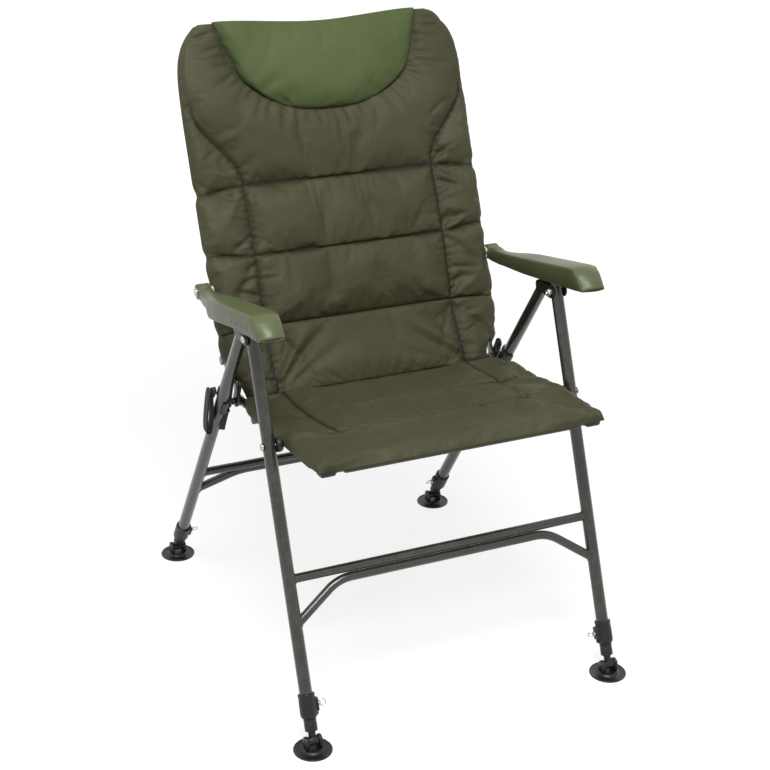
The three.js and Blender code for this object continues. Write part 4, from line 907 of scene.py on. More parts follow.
@dataclass
class LegFrame:
    """One pair of legs with its cross tube, bent brace, collars, telescopic legs and feet."""

    end: End
    top_at: float
    cross_up: float
    brace_up: float
    bend_in: float
    tube_from: float = 49.0
    cross_radius: float = 8.0
    cross_wall: float = 1.4
    brace_drop: float = 16.3
    bend_radius: float = 75.0
    boss_up: float = 60.0
    boss_reach: float = 18.0
    sleeve_top: float = 39.7

    @property
    def line(self) -> SideLine:
        """The legs' axis."""
        return CHAIR.leg(self.end)

    @property
    def body(self) -> str:
        """The body that the pair rides on."""
        return f"{self.end.value}_frame"

    def build(self) -> None:
        """Builds both legs and what joins them."""
        for side in Side:
            self.leg_tube(side)
            self.collar(side)
            self.pull_pin(side)
            self.telescopic_leg(side)
            self.swivel_foot(side)
        self.cross_tube()
        self.brace_tube()

    def leg_tube(self, side: Side) -> None:
        """The outer tube of a leg."""
        x = side.value * CHAIR.leg_x
        path = np.array((self.line.at(self.tube_from, x=x), self.line.at(self.top_at, x=x)))
        made = tube(path, CHAIR.leg_radius, CHAIR.leg_wall, ACROSS)
        name = f"{self.end.value}_leg_{side.word}"
        piece(f"{name}_tube", made, TUBE_PAINT, self.body, name)

    def coped(self, path: np.ndarray) -> Shell:
        """A tube between the legs with its ends coped to them and a bead of weld at each."""

        def cope(ring: np.ndarray, way: np.ndarray) -> np.ndarray:
            leg_x = math.copysign(CHAIR.leg_x, ring[:, 0].mean())
            return slide_onto_leg(ring, way, self.line, leg_x, CHAIR.leg_radius - 0.2)

        made = tube(path, self.cross_radius, self.cross_wall, self.line.normal, cope)
        start = (len(path) - 1) * ROUND_SIDES
        beads = []
        for first, near, beyond in ((0, path[0], path[1]), (start, path[-1], path[-2])):
            leg_x = math.copysign(CHAIR.leg_x, near[0])
            ring = made.points[first:first + ROUND_SIDES]
            beads.append(weld_bead(ring, self.line, leg_x, unit(near - beyond)))
        return together(made, *beads)

    def cross_tube(self) -> None:
        """The straight tube between the legs."""
        reach = CHAIR.leg_x - 2 * CHAIR.leg_radius
        path = np.array((self.line.at(self.cross_up, x=-reach), self.line.at(self.cross_up, x=reach)))
        name = f"{self.end.value}_cross_tube"
        piece(f"{name}_welded", self.coped(path), TUBE_PAINT, self.body, name)

    def brace_tube(self) -> None:
        """The brace under the cross tube, bent down to the legs at both ends."""
        bend_x = CHAIR.leg_x - self.bend_in
        under = self.cross_up - self.brace_drop
        corners = [self.line.at(self.brace_up, x=-CHAIR.leg_x), self.line.at(under, x=-bend_x),
                   self.line.at(under, x=bend_x), self.line.at(self.brace_up, x=CHAIR.leg_x)]
        short = 2.2 * CHAIR.leg_radius
        corners[0] = corners[0] + unit(corners[1] - corners[0]) * short
        corners[-1] = corners[-1] + unit(corners[-2] - corners[-1]) * short
        name = f"{self.end.value}_brace_tube"
        piece(f"{name}_welded", self.coped(bent_path(corners, self.bend_radius)), TUBE_PAINT,
              self.body, name)

    def collar(self, side: Side) -> None:
        """The moulded collar at the leg tube's lower end, with the boss of its pull pin."""
        x = side.value * CHAIR.leg_x
        low, top, bore = 40.0, 82.0, 9.5
        outside = eased([(bore, low), (13.0, low), (14.8, low + 4.5), (14.6, low + 24), (13.9, top - 7),
                         (14.5, top - 6), (14.4, top - 1), (11.3, top)], 1.2)
        inside = [(11.3, self.tube_from), (bore, self.tube_from)]
        shell = lathe(outside + inside, self.line.at(0, x=x), self.line.way)
        outline = block_outline(self.line, self.boss_up, 12.0, 7.5, 3.0)
        face = side.value * (CHAIR.leg_x - self.boss_reach)
        boss = plate(outline, face, face + side.value * 7.0, 1.4)
        rim_outline = block_outline(self.line, self.boss_up, 5.8, 5.8, 5.7)
        rim = plate(rim_outline, face - side.value * 0.2, face + side.value * 3.0, 0.4)
        low_lug = plate(block_outline(self.line, low + 4.5, 2.6, 4.0, 1.5),
                        side.value * (CHAIR.leg_x - 16.4), side.value * (CHAIR.leg_x - 9), 0.8)
        name = f"{self.end.value}_collar_{side.word}"
        piece(f"{name}_moulding", together(shell, boss, rim, low_lug), BLACK_PLASTIC, self.body, name)

    def pull_pin(self, side: Side) -> None:
        """The spring pin that locks the telescopic leg, with its pull ring."""
        centre = self.line.at(self.boss_up)
        face = CHAIR.leg_x - self.boss_reach
        head_start, head_end, tip = face - 0.4, face - 4.4, CHAIR.leg_x - 9.9
        shaft = bar(centre, side.value * head_end, side.value * tip, 2.3)
        head = bar(centre, side.value * head_end, side.value * head_start, 4.4, 0.9)
        ring_radius, wire = 5.5, 0.9
        flat = self.end is End.FRONT and side is Side.RIGHT
        ring_way = np.array((0.0, 1.0, 0.0)) if flat else self.line.way
        hub = centre + ACROSS * side.value * (head_end + wire - ring_radius)
        ring = wire_ring(hub, ACROSS, ring_way, ring_radius, wire)
        piece(f"{self.end.value}_pull_pin_and_ring_{side.word}", together(shaft, head, ring),
              BRIGHT_STEEL, f"{self.end.value}_pin_{side.word}",
              f"{self.end.value}_pull_pin_{side.word}")

    def telescopic_leg(self, side: Side) -> None:
        """The inner leg: its tube inside the leg, its sleeve, neck and the barrel of the foot joint."""
        x = side.value * CHAIR.leg_x
        profile = eased([(0, 0), (6.4, 0), (6.4, 16.5), (10.2, 17.0), (11.0, 18.6), (11.0, 31.0),
                         (10.6, 31.6), (10.6, 33.0), (11.0, 33.6), (11.0, self.sleeve_top),
                         (9.2, self.sleeve_top), (9.2, 203.0), (7.8, 205.0), (0, 205.0)], 0.7)
        body = lathe(profile, self.line.at(0, x=x), self.line.way)
        barrel = bar(self.line.start, x - 8.4, x + 8.4, 8.0, 0.9, ROUND_SIDES)
        name = f"{self.end.value}_inner_leg_{side.word}"
        piece(f"{name}_moulding", together(body, barrel), BLACK_PLASTIC,
              f"{self.end.value}_extension_{side.word}", name)

    def swivel_foot(self, side: Side) -> None:
        """The mud foot: a dished disc with a hub and two ears that hold the leg's barrel."""
        x = side.value * CHAIR.leg_x
        foot = CHAIR.foot(self.end)
        floor = np.array((x, foot[1], 0.0))
        profile = eased([(0, 0), (33.0, 0), (33.5, 0.9), (33.5, 2.0), (32.8, 2.9), (31.6, 2.9),
                         (29.6, 1.9), (22.0, 1.7), (18.5, 2.3), (16.0, 4.6), (14.4, 5.2),
                         (0, 5.2)], 0.9)
        shells = [lathe(profile, floor, np.array((0.0, 0.0, 1.0)), 72)]
        low = np.array((0.0, foot[1], 9.6))
        outline = bone_outline(foot, 9.6, low, 9.6)
        for way in (-1, 1):
            shells.append(plate(outline, x + way * 9.0, x + way * 15.0, 1.3))
            shells.append(bolt_head(foot, x + way * 14.6, way, 3.6, 1.4))
        shells.append(bar(foot, x - 15.0, x + 15.0, 2.6))
        name = f"{self.end.value}_foot_{side.word}"
        piece(f"{name}_moulding", together(*shells), BLACK_PLASTIC, name, name)


@dataclass
class ApexJoint:
    """What joins the leg tops on one side: knuckle, bolt, armrest peg and tube plug."""

    side: Side
    sleeve_radius: float = 13.0
    sleeve_length: float = 28.0
    cap: float = 3.6
    ear_inner: float = 3.2
    ear_outer: float = 4.2

    def build(self) -> None:
        """Builds the joint."""
        self.knuckle()
        self.bolt()
        self.peg()

    def knuckle(self) -> None:
        """The black knuckle over the rear leg's top, with two ears round the front leg."""
        sign = self.side.value
        rear = CHAIR.leg(End.REAR)
        end = CHAIR.rear_apex_at - 13.0 + CHAIR.gap
        top, low, bore = end + self.cap, end + self.cap - self.sleeve_length, CHAIR.leg_radius + 0.1
        outside = eased([(0, end), (bore, end), (bore, low), (12.4, low), (self.sleeve_radius, low + 1.4),
                         (self.sleeve_radius, top - 3), (9.5, top), (0, top)], 0.8)
        cap = lathe(outside, rear.at(0, x=sign * CHAIR.leg_x), rear.way)
        root = rear.at(top - 14.0)
        outline = bone_outline(CHAIR.apex, 11.5, root, 9.0)
        inner, outer = sign * CHAIR.leg_inside, sign * CHAIR.leg_outside
        ears = [plate(outline, inner - sign * self.ear_inner, inner, 0.9),
                plate(outline, outer, outer + sign * self.ear_outer, 1.2)]
        word = self.side.word
        piece(f"knuckle_{word}_moulding", together(cap, *ears), BLACK_PLASTIC, "rear_frame",
              f"knuckle_{word}")

    def bolt(self) -> None:
        """The bright bolt through knuckle and front leg, domed at both ends."""
        sign, apex = self.side.value, CHAIR.apex
        inner = CHAIR.leg_inside - CHAIR.gap - self.ear_inner
        outer = CHAIR.leg_outside + CHAIR.gap + self.ear_outer
        shells = [bar(apex, sign * (inner - 2), sign * outer, BOLT_RADIUS),
                  bar(apex, sign * (inner - 1.0), sign * inner, 7.6, 0.3),
                  bolt_head(apex, sign * (inner - 1.0), -sign, 6.6, 4.6),
                  bolt_head(apex, sign * outer, sign, *BOLT_HEAD)]
        word = self.side.word
        piece(f"apex_bolt_{word}_domed", together(*shells), BRIGHT_STEEL, "rear_frame",
              f"apex_bolt_{word}")

    def peg(self) -> None:
        """The plug in the front leg's top with the peg that the armrest rests on."""
        sign = self.side.value
        front = CHAIR.leg(End.FRONT)
        end = CHAIR.apex_at + CHAIR.peg_rise + 9.0 + CHAIR.gap
        bore = CHAIR.leg_radius - CHAIR.leg_wall - CHAIR.gap
        profile = eased([(0, end - 23), (bore, end - 23), (bore, end), (CHAIR.leg_radius, end),
                         (CHAIR.leg_radius - 0.4, end + 1.4), (7.0, end + 2.6), (0, end + 2.6)], 0.7)
        plug = lathe(profile, front.at(0, x=sign * CHAIR.leg_x), front.way)
        pin = bar(CHAIR.peg, sign * (CHAIR.leg_x - 14), sign * (CHAIR.leg_x + 28), 4.0, 1.0)
        word = self.side.word
        piece(f"armrest_peg_{word}_and_plug", together(plug, pin), BLACK_PLASTIC, "front_frame",
              f"armrest_peg_{word}")


@dataclass
class SeatFrame:
    """The tubes under the seat pad with their corner fittings and pivots."""

    rail_x: float = 246.0
    front_at: float = 377.0
    rear_at: float = 62.0
    corner_half: float = 13.0
    corner_high: float = 10.6
    spacer_from: float = 265.6

    @property
    def tongue_x(self) -> float:
        """The middle of a rail's tongue across the chair."""
        return self.rail_x + TUBE_RADIUS - TONGUE_HALF

    def build(self) -> None:
        """Builds rails, cross tubes, corners and pivots."""
        seat = CHAIR.seat
        for side in Side:
            self.rail(side)
            self.corner(side)
            self.pivot(side)
        end = self.rail_x - self.corner_half - CHAIR.gap
        front = frame_tube([seat.at(self.front_at, x=-end), seat.at(self.front_at, x=end)], seat.way)
        piece("seat_front_tube_round", front, TUBE_PAINT, "seat", "seat_front_tube")
        rear = under_tube(seat, self.rear_at, self.rail_x)
        piece("seat_rear_tube_round", rear, TUBE_PAINT, "seat", "seat_rear_tube")

    def rail(self, side: Side) -> None:
        """A side rail with its flat tongue."""
        seat, x = CHAIR.seat, side.value * self.rail_x
        end = self.front_at - self.corner_half - CHAIR.gap
        made = together(frame_tube([seat.at(TUBE_FROM + 18, x=x), seat.at(end, x=x)], seat.normal),
                        tongued_end(seat, x, side.value * self.tongue_x))
        piece(f"seat_rail_{side.word}_pressed", made, TUBE_PAINT, "seat", f"seat_rail_{side.word}")

    def corner(self, side: Side) -> None:
        """The black cap that joins rail and front tube."""
        seat, x = CHAIR.seat, side.value * self.rail_x
        block = plate(block_outline(seat, self.front_at, self.corner_half, self.corner_high, 6.5),
                      x - self.corner_half, x + self.corner_half, 3.2)
        collar = bar(seat.at(self.front_at), x - side.value * (self.corner_half + 3), x,
                     TUBE_RADIUS + 0.9, 0.8, ROUND_SIDES)
        into = lathe(eased([(0, 0), (9.4, 0), (9.4, 16), (0, 16)], 0.8),
                     seat.at(self.front_at - self.corner_half - 3, x=x), seat.way)
        piece(f"seat_corner_{side.word}_cap", together(block, collar, into), BLACK_PLASTIC, "seat",
              f"seat_corner_{side.word}")

    def pivot(self, side: Side) -> None:
        """The bolt and the round spacer between front leg and seat."""
        sign, pivot = side.value, CHAIR.seat_pivot
        outer, long = CHAIR.leg_outside, CHAIR.leg_inside - self.spacer_from
        bolt = together(bar(pivot, sign * self.rail_x, sign * outer, BOLT_RADIUS),
                        bolt_head(pivot, sign * outer, sign, *BOLT_HEAD))
        piece(f"seat_bolt_{side.word}_domed", bolt, BRIGHT_STEEL, "front_frame",
              f"seat_bolt_{side.word}")
        spacer = eased([(0, 0), (7.0, 0.2), (11.4, 2.2), (13.0, 5.4), (13.0, 10.6), (11.6, long),
                        (0, long)], 1.6, 5)
        base = np.array((sign * self.spacer_from, pivot[1], pivot[2]))
        piece(f"seat_spacer_{side.word}_turned", lathe(spacer, base, ACROSS * sign), BLACK_PLASTIC,
              "front_frame", f"seat_spacer_{side.word}")


@dataclass
class BackFrame:
    """The bent tube of the back, its low tube and the hinges at its foot."""

    tube_x: float = 264.0
    top_at: float = 646.0
    low_at: float = 75.0
    bend_radius: float = 75.0
    bolt_from: float = 250.2
    plate_from: float = 259.8
    plate_thick: float = 4.0

    @property
    def tongue_x(self) -> float:
        """The middle of a tongue across the chair."""
        return self.tube_x - TUBE_RADIUS + TONGUE_HALF

    @property
    def bolt_end(self) -> float:
        """The outer end of the hinge bolt."""
        return self.tube_x + TUBE_RADIUS

    def build(self) -> None:
        """Builds the tubes, hinges and saddles."""
        back = CHAIR.back
        start = TUBE_FROM + 18
        corners = [back.at(start, x=-self.tube_x), back.at(self.top_at, x=-self.tube_x),
                   back.at(self.top_at, x=self.tube_x), back.at(start, x=self.tube_x)]
        ends = [tongued_end(back, side.value * self.tube_x, side.value * self.tongue_x) for side in Side]
        made = together(frame_tube(bent_path(corners, self.bend_radius), back.normal), *ends)
        piece("back_tube_bent", made, TUBE_PAINT, "back", "back_tube")
        low = under_tube(back, self.low_at, self.tube_x)
        piece("back_low_tube_round", low, TUBE_PAINT, "back", "back_low_tube")
        for side in Side:
            self.hinge_plate(side)
            self.saddle(side)

    def hinge_plate(self, side: Side) -> None:
        """The black plate on the hinge bolt that stops the recline."""
        sign, hinge = side.value, CHAIR.hinge
        tip = hinge + np.array((0.0, -17.0, 37.0))
        outer = self.plate_from + self.plate_thick
        shells = [plate(bone_outline(hinge, 11.0, tip, 9.0), sign * self.plate_from, sign * outer, 0.6),
                  bar(hinge, sign * self.bolt_from, sign * self.bolt_end, BOLT_RADIUS),
                  bolt_head(hinge, sign * self.bolt_from, -sign, *BOLT_HEAD),
                  hexagon_nut(hinge, sign * outer, sign * (outer + 5.4), 6.8),
                  bar(tip, sign * (self.plate_from - 3), sign * (outer + 2.4), 4.6, 0.8)]
        piece(f"hinge_plate_{side.word}_and_bolt", together(*shells), BLACK_STEEL, "back_hinge",
              f"hinge_plate_{side.word}")

    def saddle(self, side: Side) -> None:
        """The moulded saddle that slides on the rear leg, open on its outer side."""
        sign = side.value
        rear, x = CHAIR.leg(End.REAR), side.value * CHAIR.leg_x
        inner, outer, half = CHAIR.leg_radius + 0.2, CHAIR.leg_radius + 3.7, 17.0
        open_half = math.radians(76)
        turns = np.linspace(open_half, 2 * math.pi - open_half, 28)
        arc = np.outer(np.cos(turns), ACROSS * sign) + np.outer(np.sin(turns), rear.normal)
        rings = []
        for at, trim in ((-half, 0.8), (-half + 0.8, 0.0), (half - 0.8, 0.0), (half, 0.8)):
            centre = rear.at(CHAIR.hinge_at + at, x=x)
            rings.append(np.concatenate((centre + arc * (outer - trim), (centre + arc * inner)[::-1])))
        count = len(rings[0])
        faces = ring_faces(len(rings), count)
        pairs = count // 2
        for start in (0, (len(rings) - 1) * count):
            for k in range(pairs - 1):
                faces.append((start + k, start + k + 1, start + count - 2 - k, start + count - 1 - k))
        clip = Shell(np.concatenate(rings), faces)
        boss = bar(CHAIR.hinge, sign * (self.bolt_end + 0.5), sign * (CHAIR.leg_x - 12), 10.0, 1.2,
                   ROUND_SIDES)
        ribs = []
        for at in (CHAIR.hinge_at - 13.0, CHAIR.hinge_at + 13.0):
            outline = bone_outline(rear.at(at), 2.0, rear.at(at, 11.0), 2.0)
            ribs.append(plate(outline, sign * 274.4, sign * 279.0, 0.5))
        piece(f"slide_saddle_{side.word}_moulding", together(clip, boss, *ribs), BLACK_PLASTIC,
              f"slider_{side.word}", f"slide_saddle_{side.word}")


def apply_modifiers(made: bpy.types.Object) -> None:
    """Makes an object's modified form its own mesh."""
    settled = bpy.data.meshes.new_from_object(made.evaluated_get(bpy.context.evaluated_depsgraph_get()))
    made.modifiers.clear()
    made.data = settled


def carve(made: bpy.types.Object, shell: Shell) -> None:
    """Cuts a shell out of an object."""
    tool = make_object("carving_tool", shell, BLACK_PLASTIC)
    cut = made.modifiers.new("carved", "BOOLEAN")
    cut.operation = "DIFFERENCE"
    cut.solver = "EXACT"
    cut.object = tool
    apply_modifiers(made)
    bpy.data.objects.remove(tool)


@dataclass
class Armrest:
    """A moulded armrest, hollow from below, with its hub, rack, bolt and spacer."""

    side: Side
    length: float = 360.0
    half_width: float = 25.0
    depth: float = 36.0
    wall: float = 2.6
    edge: float = 4.6
    crown: float = 2.2
    nose_bulge: float = 10.0
    neck_dip: float = 6.0
    inner_low: tuple = ((-6.0, -10.0), (12.0, -15.0), (40.0, -20.0), (110.0, -23.5), (344.0, -35.4))
    hub_radius: float = 14.0
    hub_inner: float = 278.6
    hub_outer: float = 303.0
    channel_from: float = 98.0
    channel_to: float = 344.0
    lip: float = 0.6
    sharp: float = 42.0
    washer_from: float = 272.8
    rack_from: float = 222.0
    rack_to: float = 330.0
    rack_in: float = 306.0
    step_pitch: float = 24.0
    step_count: int = 4
    # How far along, inner and outer face, top and underside, as shares of the sizes above
    station_shares: tuple = (
        (-0.0167, -0.448, 0.512, 0.25, -0.2778), (0.0556, -0.424, 0.52, 0.2778, -0.3889),
        (0.0944, -0.36, 0.656, 0.1667, -0.4056), (0.1667, -0.4, 0.88, 0.1389, -0.4306),
        (0.2389, -0.48, 1.04, 0.1278, -0.4722), (0.2694, -0.52, 1.1, 0.1222, -0.7778),
        (0.3, -0.56, 1.14, 0.1167, -0.8611), (0.4167, -0.688, 1.24, 0.1111, -0.8333),
        (0.6944, -0.704, 1.296, 0.1, -0.7778), (0.8833, -0.704, 1.296, 0.0944, -0.8889),
        (0.9194, -0.696, 1.288, 0.0556, -0.9278), (0.9528, -0.68, 1.272, -0.1944, -0.9611),
        (0.9806, -0.656, 1.248, -0.5556, -0.9889), (1.0, -0.616, 1.208, -0.8889, -1.0),
    )

    def build(self) -> None:
        """Builds the armrest and the bolt that carries it."""
        self.moulding()
        self.bolt()

    def station(self, at: float) -> tuple:
        """The inner and outer face, top and underside at a distance from the pivot."""
        table = np.array(self.station_shares)
        keys = table[:, 0] * self.length
        scale = (self.half_width, self.half_width, self.depth, self.depth)
        offset = (CHAIR.leg_x, CHAIR.leg_x, 0.0, 0.0)
        return tuple(float(np.interp(at, keys, table[:, 1 + k])) * scale[k] + offset[k] for k in range(4))

    @staticmethod
    def before_neck(at: float) -> float:
        """1 up to the neck behind the hub, and 0 beyond it."""
        return 1.0 - smooth((at - 50.0) / 90.0)

    def section(self, at: float) -> np.ndarray:
        """One ring of the armrest's outside, from its inner lower edge over the top."""
        inner, outer, top, low = self.station(at)
        nose = smooth((at / self.length - 0.86) / 0.14)
        edge = min(self.edge, 0.45 * (top - low))
        dip = self.neck_dip * smooth((at - 8) / 40) * self.before_neck(at)
        inner_low = float(np.interp(at, *zip(*self.inner_low))) if at < self.channel_to else low
        corner = np.linspace(0.0, math.pi / 2, 5)
        xs = [inner + self.lip, inner]
        offs = [inner_low, inner_low + 0.8]
        xs += list(inner + edge - edge * np.cos(corner))
        offs += list(top - edge + edge * np.sin(corner) - 0.25 * dip)
        flat = np.linspace(inner + edge, outer - edge, 9)[1:-1]
        middle = (inner + outer) / 2
        half = (outer - inner) / 2
        xs += list(flat)
        slant = dip * (0.25 + 0.75 * (flat - inner) / (outer - inner))
        offs += list(top + self.crown * (1 - ((flat - middle) / half) ** 2) - self.crown * 0.2 - slant)
        xs += list(outer - edge + edge * np.sin(corner))
        offs += list(top - edge + edge * np.cos(corner) - dip)
        xs += [outer, outer - self.lip]
        offs += [low + 0.8, low]
        under = np.linspace(outer - self.lip, inner + self.lip, 9)[1:-1]
        xs += list(under)
        offs += list(low + (inner_low - low) * (outer - under) / (outer - inner))
        xs, offs = np.array(xs), np.array(offs)
        forward = self.nose_bulge * nose * (1 - ((xs - middle) / half) ** 2)
        along = at + forward - self.nose_bulge * 0.45 * nose
        return CHAIR.arm.sheet(self.side.value * xs, along, offs)

    def outside(self) -> Shell:
        """The armrest's outer form."""
        keys = [share[0] * self.length for share in self.station_shares]
        places = []
        for first, second in zip(keys, keys[1:]):
            places += list(np.linspace(first, second, 4)[:-1])
        return skin([self.section(at) for at in places + [keys[-1]]])

    def channel(self) -> Shell:
        """The room under the armrest that the leg tops stand in."""
        rings = []
        for at in np.linspace(self.channel_from, self.channel_to, 24):
            inner, outer, top, low = self.station(at)
            roof = min(top, 3.6) - 3.4 - self.neck_dip * self.before_neck(at)
            a, b = inner + self.wall, outer - self.wall
            xs = np.array((a, a, a + 2, b - 2, b, b)) * self.side.value
            offs = np.array((low - 6, roof - 2, roof, roof, roof - 2, low - 6))
            rings.append(CHAIR.arm.sheet(xs, np.full(len(xs), at), offs))
        return skin(rings)

    def witness_places(self) -> list:
        """The places of the four rack steps, as distance and height from the pivot."""
        peg = CHAIR.peg - CHAIR.arm_pivot
        first, height = float(peg @ CHAIR.arm.way), float(peg @ CHAIR.arm.normal)
        return [(first + self.step_pitch * k, height) for k in range(self.step_count)]

    def moulding(self) -> None:
        """The green moulding."""
        sign, word = self.side.value, self.side.word
        made = make_object(f"armrest_{word}_moulding", self.outside(), GREEN_PLASTIC, self.sharp)
        outer = self.station(240.0)[1]
        holes = [bar(CHAIR.arm.at(at, off), sign * (outer - 6), sign * (outer + 6), 1.9, 0.1, 16)
                 for at, off in self.witness_places()]
        carve(made, together(self.channel(), *holes))
        long = self.hub_outer - self.hub_inner
        hub = lathe(eased([(0, 0), (12.6, 0), (self.hub_radius, 1.6), (self.hub_radius, long - 2.2),
                           (12.2, long), (0, long)], 1.2),
                    CHAIR.arm_pivot + ACROSS * sign * self.hub_inner, ACROSS * sign)
        rack_line = self.witness_places()[0][1] + 4.5
        steps = []
        for at, _ in self.witness_places():
            steps += [(at - 4.4, rack_line), (at - 2.4, rack_line + 2.2), (at + 2.4, rack_line + 2.2),
                      (at + 4.4, rack_line)]
        corners = [(self.rack_from, rack_line), *steps, (self.rack_to, rack_line), (self.rack_to, 1.0),
                   (self.rack_from, 1.0)]
        outline = np.array([CHAIR.arm.at(at, off)[1:] for at, off in corners])
        rack = plate(outline, sign * self.rack_in, sign * (outer - 1.3), 0.3)
        extra = make_object("armrest_extra", together(hub, rack), GREEN_PLASTIC)
        bpy.ops.object.select_all(action="DESELECT")
        extra.select_set(True)
        made.select_set(True)
        bpy.context.view_layer.objects.active = made
        bpy.ops.object.join()
        made.data.set_sharp_from_angle(angle=math.radians(self.sharp))
        fit(made, GREEN_PLASTIC, f"armrest_{word}", f"armrest_{word}")

    def bolt(self) -> None:
        """The bright bolt and the spacer between back tube and armrest."""
        sign, pivot, word = self.side.value, CHAIR.arm_pivot, self.side.word
        washer_to, head = self.hub_inner - CHAIR.gap, self.hub_outer + CHAIR.gap
        shells = [bar(pivot, sign * BackFrame.tube_x, sign * head, BOLT_RADIUS),
                  bar(pivot, sign * self.washer_from, sign * washer_to, 11.0, 0.8, ROUND_SIDES),
                  bar(pivot, sign * (head - 0.4), sign * (head + 0.9), 8.6, 0.3),
                  bolt_head(pivot, sign * (head + 0.9), sign, 6.8, 2.9)]
        piece(f"armrest_bolt_{word}_domed", together(*shells), BRIGHT_STEEL, f"arm_link_{word}",
              f"armrest_bolt_{word}")


@dataclass(frozen=True)
class Fold:
    """A soft ridge or dip of the cloth along a straight line over a flat pad."""

    from_x: float
    from_s: float
    to_x: float
    to_s: float
    height: float
    width: float

    def over(self, x: np.ndarray, s: np.ndarray) -> np.ndarray:
        """How much the fold lifts each place of a pad."""
        run_x, run_s = self.to_x - self.from_x, self.to_s - self.from_s
        length = math.hypot(run_x, run_s)
        along = ((x - self.from_x) * run_x + (s - self.from_s) * run_s) / length ** 2
        away = ((x - self.from_x) * run_s - (s - self.from_s) * run_x) / length
        away = away + 0.06 * length * np.sin(2.2 * along)
        reach = smooth(along / 0.16) * smooth((1.0 - along) / 0.5)
        return self.height * np.exp(-(away / (self.width * (0.7 + 0.8 * along.clip(0, 1)))) ** 2) * reach


def placed_folds(table: Sequence, sign: int) -> list:
    """The folds of a table on one side: place and place across and along, height and width."""
    return [Fold(sign * from_x, from_s, sign * to_x, to_s, height, width)
            for from_x, from_s, to_x, to_s, height, width in table]


@dataclass(frozen=True)
class Seam:
    """A sewn line in the places of a pad's grid."""

    columns: tuple
    rows: tuple
    strength: float = 1.0
    stitched: bool = True
    already_flat: bool = False
    gathers: float = 1.0


def run_along(x: np.ndarray, s: np.ndarray) -> np.ndarray:
    """The distance of each place of a line from the line's start."""
    return np.concatenate(([0.0], np.cumsum(np.hypot(np.diff(x), np.diff(s)))))


def grid_quads(index: np.ndarray) -> np.ndarray:
    """The quads of a grid, given the indices of its points in rows and columns."""
    quads = np.stack((index[:-1, :-1], index[:-1, 1:], index[1:, 1:], index[1:, :-1]), axis=-1)
    return quads.reshape(-1, 4)


def settle(points: np.ndarray, pinned: np.ndarray, pressure: float, growth: float, cap: float,
           frames: int = 20) -> np.ndarray:
    """Lets a sheet of points swell and wrinkle as cloth.

    Args:
        points: the sheet as rows and columns of points in millimetres.
        pinned: how firmly each point is held, from 0 to 1.
        pressure: the filling's pressure.
        growth: how much more cloth there is than the pad's form needs, as a share.
        cap: the most that a point may move, in millimetres.
        frames: how long the cloth moves.

    Returns:
        The new points.
    """
    shape = points.shape[:2]
    quads = grid_quads(np.arange(shape[0] * shape[1]).reshape(shape))
    mesh = bpy.data.meshes.new("settling")
    mesh.from_pydata((points.reshape(-1, 3) * METRES).tolist(), [], quads.tolist())
    sheet, scene = placed("settling", mesh), bpy.context.scene
    held = sheet.vertex_groups.new(name="held")
    for number, weight in enumerate(pinned.reshape(-1)):
        if weight > 0:
            held.add([number], float(weight), "REPLACE")
    cloth = sheet.modifiers.new("cloth", "CLOTH")
    for setting, value in PADDED_CLOTH.items():
        setattr(cloth.settings, setting, value)
    cloth.settings.uniform_pressure_force = pressure
    cloth.settings.shrink_min = -growth
    cloth.settings.vertex_group_mass = held.name
    cloth.settings.effector_weights.gravity = 0.0
    cloth.collision_settings.use_collision = False
    cloth.point_cache.frame_start, cloth.point_cache.frame_end = 1, frames
    for number in range(1, frames + 1):
        scene.frame_set(number)
    moved = np.empty(points.size)
    evaluated = sheet.evaluated_get(bpy.context.evaluated_depsgraph_get())
    evaluated.data.vertices.foreach_get("co", moved)
    bpy.data.objects.remove(sheet)
    scene.frame_set(1)
    shift = moved.reshape(points.shape) / METRES - points
    length = np.linalg.norm(shift, axis=-1, keepdims=True)
    allowed = cap * np.tanh(length / cap)
    return points + shift * allowed / np.maximum(length, 1e-9)


